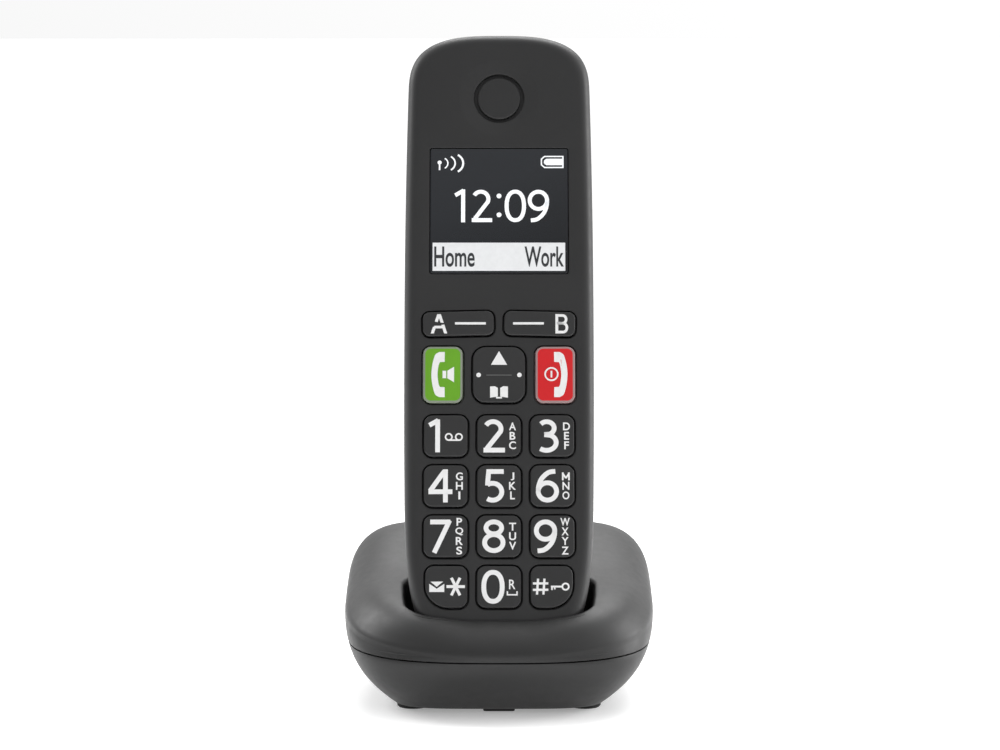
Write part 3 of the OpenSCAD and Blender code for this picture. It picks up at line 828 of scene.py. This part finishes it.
def hash_mark():
    """A hash sign and a key."""
    mark = Mark()
    for d in (-0.8, 0.8):
        mark.bar((-2.75 + d - 0.14, -1.95), (-2.75 + d + 0.14, 2.05), 0.56)
        mark.bar((-4.7, d + 0.05), (-0.85, d + 0.05), 0.56)
    mark.band((3.45, 0.05), 0.8, 0.42)
    mark.bar((-0.2, 0.05), (2.7, 0.05), 0.46)
    mark.bar((0.05, 0.05), (0.05, -0.8), 0.4).bar((0.75, 0.05), (0.75, -0.65), 0.4)
    print_on("key_hash", mark)


def receiver_outline():
    """A telephone receiver seen from the side, bowed towards -X, its back at 0."""
    back = [(2.0, 5.8), (1.05, 5.2), (0.6, 4.05), (0.2, 2.25), (0, 0)]
    back += [(x, -y) for x, y in back[-2::-1]]
    grip = [(2.2, -3.2), (1.85, -2.4), (1.58, 0), (1.85, 2.4), (2.2, 3.2)]
    return [(3.4, 5.8), *smooth_curve(back), (3.4, -5.8), (3.35, -3.25), *smooth_curve(grip), (3.35, 3.25)]


def call_marks():
    """Receivers on the talk and end keys, with a loudspeaker and a power sign."""
    outline = receiver_outline()
    talk = Mark().solid([(x - 2.9, y) for x, y in outline])
    talk.solid([(-0.05, -0.95), (0.85, -0.95), (0.85, 0.95), (-0.05, 0.95)])
    talk.solid([(1.15, -0.95), (2.85, -2.0), (2.85, 2.0), (1.15, 0.95)])
    print_on("talk_key", talk)
    end = Mark().solid([(3.1 - x, y) for x, y in reversed(outline)])
    end.band((-0.95, 0.1), 1.6, 0.4).bar((-0.95, -0.75), (-0.95, 0.95), 0.42)
    print_on("end_key", end)


def nav_marks():
    """An arrow, an open book and a dot at each side of the four-way key."""
    mark = Mark().solid([(-2.05, 2.5), (2.05, 2.5), (0, 6.05)])
    for s in (-1, 1):
        mark.disc((s * 5.15, -0.1), 0.58)
        page = [(0.3, -5.65), (2.25, -5.95), (2.25, -3.1), (1.1, -3.0), (0.3, -3.45)]
        mark.solid([(s * x, y) for x, y in (page if s > 0 else page[::-1])])
    mark.bar((-0.75, -5.95), (0.75, -5.95), 0.4)
    print_on("nav_key", mark)
    print_on("nav_key", Mark().bar((-3.2, -0.15), (3.2, -0.15), 0.26), FAINT, "_ridge")


def softkey_marks():
    """A letter and a line on each softkey."""
    a = Mark().bar((-0.85, 0.0), (6.95, 0.0), 0.6)
    leg = [(2.1, -2.5), (0.45, 2.5), (-0.35, 2.5), (1.3, -2.5)]
    for s in (-1, 1):
        a.solid([(s * x - 4.9, y - 0.1) for x, y in leg][::s])
    a.bar((-6.1, -0.95), (-3.7, -0.95), 0.66)
    print_on("softkey_a", a)
    x = 5.6
    b = Mark().bar((-6.75, 0.0), (1.05, 0.0), 0.6).bar((x - 1.25, -2.6), (x - 1.25, 2.4), 0.72)
    b.stroke([(x - 1.2, 2.05), *arc(x + 0.25, 1.05, 0.85, 1.0, 90, -90, 10), (x - 1.2, 0.05)], 0.68)
    b.stroke([(x - 1.2, 0.05), *arc(x + 0.3, -1.1, 1.0, 1.15, 90, -90, 10), (x - 1.2, -2.25)], 0.68)
    print_on("softkey_b", b)


# ---- handset casing

EAR_Y = middle_and_size("earpiece_cover")[0][1]
DISH_R, DISH_DEPTH, EAR_HOLE_R, EAR_FILLET = 10.4, 0.62, 6.45, 0.2
MIC_Y, MIC_R, MIC_FILLET = 6.5, 0.6, 0.15
KEY_HOLE_FILLET, WINDOW_FILLET, LEDGE = 0.3, 0.22, 1.95
PARTING = [(1.5, 0.0), (EDGE_GROOVE + 0.12, 0.0)]  # the flat face where the two halves meet
FRONT_SIDE = [*PARTING, (EDGE_GROOVE, 0.05), (0.03, 0.3), (0, 0.6), (0, EDGE_LOW)]
FRONT_INNER = [(1.5, 0.0), (1.5, 4.2), (2, 5.9), (3, PLATE_UNDER)]
REAR_SIDE = [*PARTING, (EDGE_GROOVE, -0.05), (0.03, -0.3)]
REAR_FLOOR_Z = BACK_Z + 2.9
REAR_INNER = [(1.5, 0.0), (1.7, -3), (2.4, -6.4), (4.2, -9.2), (7.5, REAR_FLOOR_Z)]
BAY_W, BAY_WALL, BAY_TOP = 24.0, 1.2, 0.6
BELOW = BACK_Z - 2  # clear of the handset's back


def front_shell():
    shape = Shape()
    for pairs in (FRONT_EDGE, FRONT_SIDE, FRONT_INNER):
        shape.strips(hand_rings(pairs))
    holes = []
    for name in KEY_NAMES:
        ring = OPENINGS[name].ring
        holes.append([*inner_edge(ring, KEY_HOLE_FILLET, FRONT_Z, 5, gap=GAP), ring(GAP, PLATE_UNDER)])
    ring = opening_of("display_window", 0.3, 0.7).ring
    ledge_z = local_box("display_window")[0][2] - 0.05
    ledge = [ring(0, ledge_z), ring(-LEDGE, ledge_z), ring(-LEDGE, PLATE_UNDER)]
    holes.append([*inner_edge(ring, WINDOW_FILLET, FRONT_Z, 4), *ledge])
    ring = round_ring(EAR_HOLE_R, EAR_Y, 96)
    dish = []
    for t in np.linspace(0, 1, 12):
        r = DISH_R + (EAR_HOLE_R + EAR_FILLET - DISH_R) * t
        dish.append(ring(r - EAR_HOLE_R, FRONT_Z - DISH_DEPTH * t**1.15))
    mouth = inner_edge(ring, EAR_FILLET, FRONT_Z - DISH_DEPTH, 3)
    holes.append([*dish, *mouth, ring(0, PLATE_UNDER)])
    ring = round_ring(MIC_R, MIC_Y, 24)
    holes.append([*inner_edge(ring, MIC_FILLET, FRONT_Z, 3), ring(0, PLATE_UNDER)])
    for rings in holes:
        shape.strips(rings)
    shape.region(hand_ring(*FRONT_EDGE[-1]), [rings[0] for rings in holes], FRONT_Z)
    shape.region(hand_ring(*FRONT_INNER[-1]), [rings[-1] for rings in holes], PLATE_UNDER)
    return casing("handset_front_casing", shape, IN_HAND, SHELL, "handset_front_shell")


def prism(outline, z0, z1, place):
    """A closed plate with an outline, used as a cutter."""
    return piece_of("cutter", slab([level(outline, z0), level(outline, z1)], False), place, [])


def tunnel(outline, y0, y1, place):
    """A closed solid that runs along Y with an outline in X and Z, used as a cutter."""
    ends = [level(outline, y)[:, [0, 2, 1]] for y in (y0, y1)]
    shape = Shape()
    shape.strips(ends, smooth=False)
    for end in ends:
        shape.cap(end)
    return piece_of("cutter", shape, place, [])


def rear_shell():
    shape = Shape()
    shape.strips(hand_rings([*REAR_SIDE, *BACK_EDGE[1:]]))
    shape.region(hand_ring(*BACK_EDGE[-1]), [], BACK_Z)
    shape.strips(hand_rings(REAR_INNER))
    shape.region(hand_ring(*REAR_INNER[-1]), [], REAR_FLOOR_Z)
    piece = piece_of("handset_rear_casing", shape, IN_HAND, [SHELL], CASE_SHARP)
    bay_mid, bay_size = middle_and_size("battery_contacts")
    bay_len = bay_size[1] + 0.4
    around = rounded(BAY_W + 2 * BAY_WALL, bay_len + 2 * BAY_WALL, 0.5) + [0, bay_mid[1]]
    carve(piece, prism(around, REAR_FLOOR_Z - 0.5, BAY_TOP + 1, IN_HAND), "UNION")
    door_mid, door_size = middle_and_size("battery_door")
    recess = rounded(door_size[0] + 0.4, door_size[1] + 0.4, 2.2) + [0, door_mid[1]]
    carve(piece, prism(recess, BELOW, local_box("battery_door")[1][2] + 0.1, IN_HAND))
    bay = rounded(BAY_W, bay_len, 0.4) + [0, bay_mid[1]]
    carve(piece, prism(bay, BELOW, BAY_TOP, IN_HAND))
    speaker_y = middle_and_size("loudspeaker")[0][1]
    for i in range(-2, 3):
        slot = rounded(13 - 1.5 * abs(i), 1.2, 0.55, 5) + [0, speaker_y + 2.6 * i]
        carve(piece, prism(slot, BELOW, BACK_Z + 3.4, IN_HAND))
    plate_x = local_box("handset_charge_plates")[1][0] - 2.6
    plate_z = middle_and_size("handset_charge_plates")[0][2]
    for s in (-1, 1):
        carve(piece, tunnel(rounded(4.3, 4.3, 0.3) + [s * plate_x, plate_z], -2, 4, IN_HAND))
    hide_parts("handset_rear_shell")
    return piece


def battery_door():
    low, high = local_box("battery_door")
    ring = opening_of("battery_door", 0, 2).ring
    shape = Shape()
    rings = [ring(0, high[2]), *outer_edge(ring, 0.35, low[2], 5, up=-1)]
    shape.strips(rings)
    shape.region(rings[0], [], high[2])
    grooves, groove_floor = [], low[2] + 0.42
    for i in range(5):
        groove = Opening(0, high[1] - 5 - 1.8 * i, 12, 0.9, 0.4).ring
        sides = [*inner_edge(groove, 0.12, low[2], 3, up=-1), groove(-0.1, groove_floor)]
        shape.strips(sides)
        shape.region(sides[-1], [], groove_floor)
        grooves.append(sides[0])
    shape.region(rings[-1], grooves, low[2])
    return casing("battery_door_panel", shape, IN_HAND, SHELL, "battery_door")


def earpiece_disc():
    low = local_box("earpiece_cover")[0][2]
    top = FRONT_Z - DISH_DEPTH + 0.05
    r, flange, flange_h, dome = 5.5, 1.6, 0.5, 0.06
    ring = round_ring(r, EAR_Y, 96)
    rings = [ring(flange, low), ring(flange, low + flange_h), ring(0, low + flange_h)]
    rings += outer_edge(ring, 0.45, top, 6)
    rings += [ring(at - r, top + dome * (1 - (at / r) ** 2)) for at in (4.6, 3.6, 2.4, 1.2)]
    shape = Shape()
    shape.strips(rings)
    shape.cap(rings[0])
    shape.cap(rings[-1], 0, True, [0, EAR_Y, top + dome])
    return casing("earpiece_disc", shape, IN_HAND, SHELL, "earpiece_cover")


# ---- display


def display():
    low, high = local_box("display_window")
    pane = opening_of("display_window", 0, 0.6)
    rings = [pane.ring(0, low[2]), *outer_edge(pane.ring, 0.25, high[2], 4)]
    # the pane's colour carries a painted sheen, lighter towards its upper left
    casing("display_pane", slab(rings), IN_HAND, SCREEN, "display_window", "handset")

    def lay(name, mark, material, layer=0):
        thick = 0.02
        height = high[2] + thick * layer
        mark.place(name, pane.x, pane.y, lambda p: np.full(len(p), height), thick, material, "handset")

    signs = Mark()
    signs.bar((-15.2, 10.7), (-15.2, 12.5), 0.4).disc((-15.2, 12.7), 0.52)
    for x, radius, width in ((-14.5, 1.42, 0.32), (-13.15, 1.93, 0.4), (-11.6, 2.43, 0.5)):
        signs.band((x, 12.5), radius, width, -64, 64)
    cell = [(11.65, 14.3), (16.35, 14.3), (16.35, 11.4), (11.65, 11.4), (10.85, 12.1), (10.85, 13.6)]
    signs.stroke([*cell, cell[0]], 0.32)
    signs.solid([(16.2, 12.0), (16.2, 13.7), (12.1, 13.7), (11.5, 13.2), (11.5, 12.5), (12.1, 12.0)])
    lay("display_signs", signs, LIT)
    clock = Mark()
    for digit, x in (("1", -9.5), ("2", -4.35), ("0", 4.15), ("9", 10.05)):
        draw_digit(clock, digit, x, 1.3, 8.4, 1.02, 0.94)
    clock.disc((0, 3.9), 0.62).disc((0, -1.05), 0.62)
    lay("display_clock", clock, LIT)
    bar = Mark().solid([(-16.9, -15.7), (16.85, -15.7), (16.85, -8.35), (-16.9, -8.35)])
    lay("display_label_bar", bar, LABEL)
    labels = Mark()
    for word, x, width in (("Home", -11.35, 10.3), ("Work", 11.5, 10.0)):
        labels.glyph(word, (x, -12.0), width, 5.3, 0.016)
    lay("display_labels", labels, DARK_PIXEL, 1)


# ---- base

BASE_HALF_W, BASE_HALF_D = np.array(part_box("base_top_shell")[1])[:2] / MM
PAGE_AXIS = -np.array(JOINTS["paging_key_press"]["axis"], float)
SLOPE = math.atan2(-PAGE_AXIS[1], PAGE_AXIS[2])
FOOT_H, LIP_Y, LIP_Z = 1.2, -31.0, 24.5
BELT, TUCK, SHOULDER, FRONT_SHARE = 0.72, 12.3, 14.5, 0.65
SEAM_Y, SEAM_Z, SEAM_TILT, SEAM_GAP = -38.0, 15.1, math.radians(3), 0.32
SEAM_INSET, SEAM_SOFT = 0.35, 0.02
SEAM_SCALE = [0.9985, 0.9985, 1]  # draws the seam's soft corner in a little
TOP_WALL, BOTTOM_WALL, RIM_FILLET = 1.3, 1.7, 0.9
SLOT_REACH, PAGE_REACH = 3, 4  # how far cutters go to each side of the wall
PAGE_FRAME = np.array([RIGHT, np.cross(PAGE_AXIS, RIGHT), PAGE_AXIS])
ON_SLOPE = placement(PAGE_FRAME, np.zeros(3))
PAGE_LOW, PAGE_HIGH = box_in("paging_key", PAGE_FRAME, np.zeros(3))
PAGE_MID = (PAGE_LOW + PAGE_HIGH) / 2


def top_z(y):
    return LIP_Z + (y - LIP_Y) * math.tan(SLOPE)


def base_inset(v):
    v = np.asarray(v, float)
    low = TUCK * (np.maximum(BELT - v, 0) / BELT) ** 2
    q = np.clip((v - BELT) / (1 - BELT), 0, 1)
    return np.where(v <= BELT, low, SHOULDER * (1 - np.sqrt(np.maximum(0, 1 - q * q))))


def blend3(v, a, b, c):
    return np.where(v < BELT, a + (b - a) * v / BELT, b + (c - b) * (v - BELT) / (1 - BELT))


def base_sizes(v, front):
    """Half width, half depth and rounding power of the base's outline at a share of its height."""
    inset = base_inset(v)
    share = np.where(front & (v > BELT), FRONT_SHARE, 1.0)
    power = np.where(front, blend3(v, 4.5, 2.75, 3), blend3(v, 4.5, 5, 7))
    return BASE_HALF_W - inset, BASE_HALF_D - inset * share, power


LIP_RISE, SADDLE_X, SADDLE_Y = 1.8, (6.0, 24.0), (2.0, -22.0)


def ease(value, start, end):
    """Goes smoothly from 0 at start to 1 at end."""
    t = np.clip((value - start) / (end - start), 0, 1)
    return t * t * (3 - 2 * t)


def saddle(x, y, v):
    """How far the front of the top rises from its middle towards its corners."""
    return LIP_RISE * ease(np.abs(x), *SADDLE_X) * ease(y, *SADDLE_Y) * ease(v, BELT + 0.1, 0.99)


def base_ring(angle, v, shrink=0.0):
    """Points of the base's surface at angles round it and shares of its height."""
    a_half, b_half, power = base_sizes(v, np.sin(angle) < 0)
    x = squared_off(np.cos(angle), power) * (a_half - shrink)
    y = squared_off(np.sin(angle), power) * (b_half - shrink)
    return np.column_stack([x, y, FOOT_H + (top_z(y) - FOOT_H) * v])


def halve(low, high, too_high, rounds=40):
    """The place between low and high where a test changes, for many points at once."""
    for _ in range(rounds):
        middle = (low + high) / 2
        above = too_high(middle)
        low, high = np.where(above, low, middle), np.where(above, middle, high)
    return (low + high) / 2


def surface_z(x, y):
    """Height of the base's top and shoulders over a point."""

    def outside(v):
        a_half, b_half, power = base_sizes(v, y < 0)
        return np.abs(x / a_half) ** power + np.abs(y / b_half) ** power > 1

    v = halve(np.full(len(x), BELT), np.ones(len(x)), outside)
    return FOOT_H + (top_z(y) - FOOT_H) * v + saddle(x, y, v)


def seam_share(angle, side):
    """Share of the height at which the seam's edge runs, at each angle round the base."""

    def above(v):
        p = base_ring(angle, v)
        return p[:, 2] > SEAM_Z + (p[:, 1] - SEAM_Y) * math.tan(SEAM_TILT) + side * SEAM_GAP / 2

    return halve(np.full(len(angle), 0.05), np.full(len(angle), BELT), above)


def seam_rows(angle, share, side):
    """The seam's inset edge, and the soft corner between it and the side."""
    corner = base_ring(angle, share) * SEAM_SCALE + [0, 0, side * SEAM_SOFT]
    return [base_ring(angle, share, SEAM_INSET), corner]


# ---- cradle cup, in the handset's frame
CUP_HALF_W, CUP_R, CUP_FLOOR_Y = 24.4, 8.0, -0.3
CUP_Z = (-14.2, 9.1)


def cup_section():
    """Outline across the handset's length with evenly spaced points, as X and Z."""
    w, h = 2 * CUP_HALF_W, CUP_Z[1] - CUP_Z[0]
    fine = rounded(w, h, CUP_R, 60)
    closed = np.vstack([fine, fine[:1]])
    lengths = np.concatenate([[0], np.cumsum(np.linalg.norm(np.diff(closed, axis=0), axis=1))])
    even = np.linspace(0, lengths[-1], 220, endpoint=False)
    x = np.interp(even, lengths, closed[:, 0])
    z = np.interp(even, lengths, closed[:, 1])
    return x, z + sum(CUP_Z) / 2


def cup_width(y):
    """Half width of the cup at a height: the handset's rounded end with some play."""
    tongue = np.minimum(CUP_HALF_W, half_width(np.clip(y + 2.2, 0, HAND_LEN)) + 1.2)
    start = 7 + (tongue - 7) * np.clip((y - CUP_FLOOR_Y) / 0.6, 0, 1)
    return np.where(y < CUP_FLOOR_Y + 0.6, start, tongue)


def cup_points(section_x, y, section_z):
    """Points of the cup's wall in the shared frame, in millimetres."""
    x = np.sign(section_x) * np.minimum(np.abs(section_x), cup_width(y))
    return np.column_stack([x, y, section_z]) @ HAND_AXES + HAND_ORIGIN


def base_top():
    sx, sz = cup_section()

    def above(y):
        p = cup_points(sx, y, sz)
        return p[:, 2] > surface_z(p[:, 0], p[:, 1])

    rim_y = halve(np.zeros(len(sx)), np.full(len(sx), 60.0), above)
    rim = cup_points(sx, rim_y, sz)
    tangent = (np.roll(rim, -1, axis=0) - np.roll(rim, 1, axis=0))[:, :2]
    normal = np.column_stack([tangent[:, 1], -tangent[:, 0]])
    normal /= np.linalg.norm(normal, axis=1)[:, None]
    middle = rim[:, :2].mean(0)
    if np.sum(normal * (rim[:, :2] - middle)) < 0:
        normal = -normal
    edge_xy = rim[:, :2] + normal * RIM_FILLET
    edge = np.column_stack([edge_xy, surface_z(edge_xy[:, 0], edge_xy[:, 1])])
    # belt points on the rays from the cup's middle through its rim
    angle = np.linspace(0, 2 * math.pi, 2000, endpoint=False)
    belt = base_ring(angle, np.full(len(angle), BELT))
    bearing = np.arctan2(belt[:, 1] - middle[1], belt[:, 0] - middle[0])
    order = np.argsort(bearing)
    wanted = np.arctan2(edge[:, 1] - middle[1], edge[:, 0] - middle[0])
    ring_angle = np.interp(wanted, bearing[order], np.unwrap(angle[order]), period=2 * math.pi)
    belt_xy = base_ring(ring_angle, np.full(len(ring_angle), BELT))[:, :2]
    low_share = seam_share(ring_angle, 1)
    rows = seam_rows(ring_angle, low_share, 1)
    for t in np.linspace(0.03, 1, 12):
        rows.append(base_ring(ring_angle, low_share + (BELT - low_share) * t))
    for t in np.linspace(0, 1, 40)[1:]:
        xy = belt_xy + (edge_xy - belt_xy) * t**1.7
        rows.append(np.column_stack([xy, surface_z(xy[:, 0], xy[:, 1])]))
    for s, c in arc_steps(6)[1:]:
        rows.append(rim + (edge - rim) * (1 - s) - UP * RIM_FILLET * (1 - c))
    for t in np.linspace(0, 1, 26)[1:]:
        rows.append(cup_points(sx, (rim_y - RIM_FILLET) + (CUP_FLOOR_Y - rim_y + RIM_FILLET) * t, sz))
    shape = Shape()
    shape.strips(rows)
    shape.cap(rows[-1])
    piece = piece_of("base_top_casing", shape, IN_BASE, [BASE_PLASTIC], CASE_SHARP)
    thicken(piece, TOP_WALL)
    hole = rounded(11.5, 7, 3.4) + PAGE_MID[:2]
    cutter = prism(hole, PAGE_HIGH[2] - PAGE_REACH, PAGE_HIGH[2] + PAGE_REACH, ON_SLOPE)
    carve(piece, cutter, sharp=CASE_SHARP)
    for side in ("left", "right"):
        middle = middle_and_size("charge_contact_" + side)[0]
        slot = rounded(2.8, 1.8, 0.3) + [middle[0], middle[2]]
        carve(piece, tunnel(slot, -SLOT_REACH, SLOT_REACH, IN_HAND), sharp=CASE_SHARP)
    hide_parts("base_top_shell")
    return piece


def bore_four(piece, node, split_y, r, steps, top):
    """Bores up from below at each of a node's four like parts."""
    points = node_points(node)
    for side in (-1, 1):
        for front in (True, False):
            near = points[(points[:, 0] * side > 0) & ((points[:, 1] < split_y) == front)]
            middle = (near.min(0) + near.max(0)) / 2
            carve(piece, prism(circle(r, steps) + middle[:2], -1, top, IN_BASE), sharp=CASE_SHARP)


def base_bottom():
    angle = np.linspace(0, 2 * math.pi, 240, endpoint=False)
    high_share = seam_share(angle, -1)
    rows = seam_rows(angle, high_share, -1)
    rows += [base_ring(angle, high_share * (1 - t)) for t in np.linspace(0.03, 1, 26)]
    shape = Shape()
    shape.strips(rows)
    shape.cap(rows[-1])
    piece = piece_of("base_bottom_casing", shape, IN_BASE, [BASE_PLASTIC], CASE_SHARP)
    thicken(piece, BOTTOM_WALL)
    bore_four(piece, "rubber_feet", 0, 4.25, 48, 1.55)
    bore_four(piece, "base_screws", 5, 2.7, 32, 3.5)
    for jack in ("line_jack", "power_jack"):
        low, high = (np.array(corner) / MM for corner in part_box(jack))
        window = rounded(11.2, 7.8, 0.8) + [(low[0] + high[0]) / 2, 9.6]
        carve(piece, tunnel(window, high[1] - 3, 45, IN_BASE), sharp=CASE_SHARP)
    stop = Opening(0, -23.7, 8, 3.4, 0.8)
    rings = [stop.ring(inset, z) for inset, z in ((0, FOOT_H + 0.3), (0, 0.35), (-0.08, 0.15), (-0.25, 0.1))]
    carve(piece, piece_of("front_stop", slab(rings), IN_BASE, []), "UNION", sharp=CASE_SHARP)
    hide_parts("base_bottom_shell")
    return piece


def paging_cap():
    cap = Opening(PAGE_MID[0], PAGE_HIGH[1] - 4.05, PAGE_HIGH[0] - PAGE_LOW[0] - 1.6, 6.5, 3.2)
    fillet, dome, depth, top = 0.4, 0.15, 3.1, PAGE_HIGH[2]
    rings = [cap.ring(0, top - depth), *outer_edge(cap.ring, fillet, top - dome, 5)]
    for inset in (0.6, 1.0, 1.6, 2.3, 3.0):
        rings.append(cap.ring(-inset, top - dome * (1 - (inset - fillet) / 2.8) ** 2))
    shape = Shape()
    shape.strips(rings)
    shape.cap(rings[0])
    shape.cap(rings[-1], 0, True)
    return casing("paging_key_cap", shape, ON_SLOPE, KEY, "paging_key")


# ---- assembling
def build_handset():
    for piece in (front_shell(), rear_shell(), earpiece_disc()):
        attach(piece, "handset")
    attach(battery_door(), "battery_door")
    display()
    special = {"talk_key": (GREEN, GREEN_RIM, "key_green"), "end_key": (RED, RED_RIM, "key_red")}
    for name in KEY_NAMES:
        face, rim, slot = special.get(name, (KEY, None, "key_plastic"))
        key_piece(name, face, rim)
    for draw in (digit_marks, one_mark, star_mark, hash_mark, call_marks, nav_marks, softkey_marks):
        draw()


def build_base():
    for piece in (base_top(), base_bottom()):
        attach(piece, "base")
    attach(paging_cap(), "paging_key")


def finish_cad_nodes():
    """Better materials for the CAD nodes that keep their shape."""
    wanted = {
        STEEL: "base_screws handset_screws receiver_capsule loudspeaker microphone base_antenna",
        NICKEL: "charge_contact_left charge_contact_right handset_charge_plates battery_contacts "
                "dome_contacts handset_antenna",
        BOARD: "base_pcb handset_pcb",
        RUBBER: "rubber_feet",
        SILICONE: "keypad_mat",
        SLEEVE: "battery_left battery_right",
        SOCKET: "line_jack paging_switch",
        PALE_SOCKET: "power_jack",
        GUIDE: "display_backlight",
        # the display panel gets the same colour with a painted sheen
        SCREEN: "display_panel",
        INNER: "contact_carrier nav_pivot",
    }
    for material, nodes in wanted.items():
        for node in nodes.split():
            slots = frame["nodes"][node].data.materials
            slots.clear()
            slots.append(material)


# ---- studio

WHITE = (1, 1, 1, 1)
CAMERA_TARGET, CAMERA_RISE, CAMERA_DISTANCE, CAMERA_LENS = (0.25, 5, 82), math.radians(6), 0.9, 125.7
BRIGHT_SIDE = (0.5, 0.45, 0.6)  # the direction that the room is brightest in
# name: place, aim, width and length in metres, power in watts
LAMPS = {
    "overhead": ((0.1, 0.45, 0.9), (0, 0, 0.05), (0.9, 0.5), 9),
    "left_shoulder": ((-0.75, 0.35, 0.6), (0, 0, 0.03), (0.3, 0.6), 5),
    "right_side": ((0.8, 0.2, 0.3), (0, 0, 0.06), (0.3, 0.6), 4),
}
FLOOR_HALF, FLOOR_GLOW = 60.0, 0.3


def place_at(name, data, place, facing):
    """A camera or lamp at a place, looking along a direction."""
    item = link(name, data)
    item.location = place
    item.rotation_mode = "QUATERNION"
    item.rotation_quaternion = facing.to_track_quat("-Z", "Y")
    return item


def camera():
    """Looks straight at the front from a little above."""
    back = Vector((0, -math.cos(CAMERA_RISE), math.sin(CAMERA_RISE)))
    data = bpy.data.cameras.new("camera")
    data.lens, data.sensor_width = CAMERA_LENS, 36
    data.clip_start, data.clip_end = 0.01, 20
    place = Vector(CAMERA_TARGET) * MM + back * CAMERA_DISTANCE
    bpy.context.scene.camera = place_at("camera", data, place, -back)


def area_light(name, place, aim, size, watts):
    data = bpy.data.lights.new(name, "AREA")
    data.shape, data.size, data.size_y, data.energy = "RECTANGLE", size[0], size[1], watts
    place_at(name, data, place, Vector(aim) - Vector(place))


def studio():
    """A room that is brighter overhead, behind and to the right, round a wide white floor."""
    world = bpy.data.worlds.new("studio")
    bpy.context.scene.world = world
    world.use_nodes = True
    tree = world.node_tree
    ways = tree.nodes.new("ShaderNodeTexCoord").outputs["Generated"]
    toward = add_node(tree, "VectorMath", {0: ways, 1: Vector(BRIGHT_SIDE).normalized()})
    toward.operation = "DOT_PRODUCT"
    strength = map_range(tree, toward.outputs["Value"], (-0.8, 1.0), (0.3, 1.25))
    feed(tree, tree.nodes["Background"], {"Strength": strength, "Color": WHITE})
    for name, settings in LAMPS.items():
        area_light(name, *settings)
    mesh = bpy.data.meshes.new("floor")
    corners = [(x * FLOOR_HALF, y * FLOOR_HALF, 0) for x, y in ((-1, -1), (1, -1), (1, 1), (-1, 1))]
    mesh.from_pydata(corners, [], [(0, 1, 2, 3)])
    material, tree, shader, coordinates = node_material("floor")
    tones = ramp(tree, noise(tree, coordinates, 6), [grey(0.84), grey(0.86)])
    feed(tree, shader, {
        "Base Color": tones, "Roughness": 0.9, "Emission Color": WHITE, "Emission Strength": FLOOR_GLOW,
    })
    new_object("floor", mesh, [material])
    bpy.context.scene.view_settings.view_transform = "Standard"


camera()
studio()
build_handset()
build_base()
finish_cad_nodes()
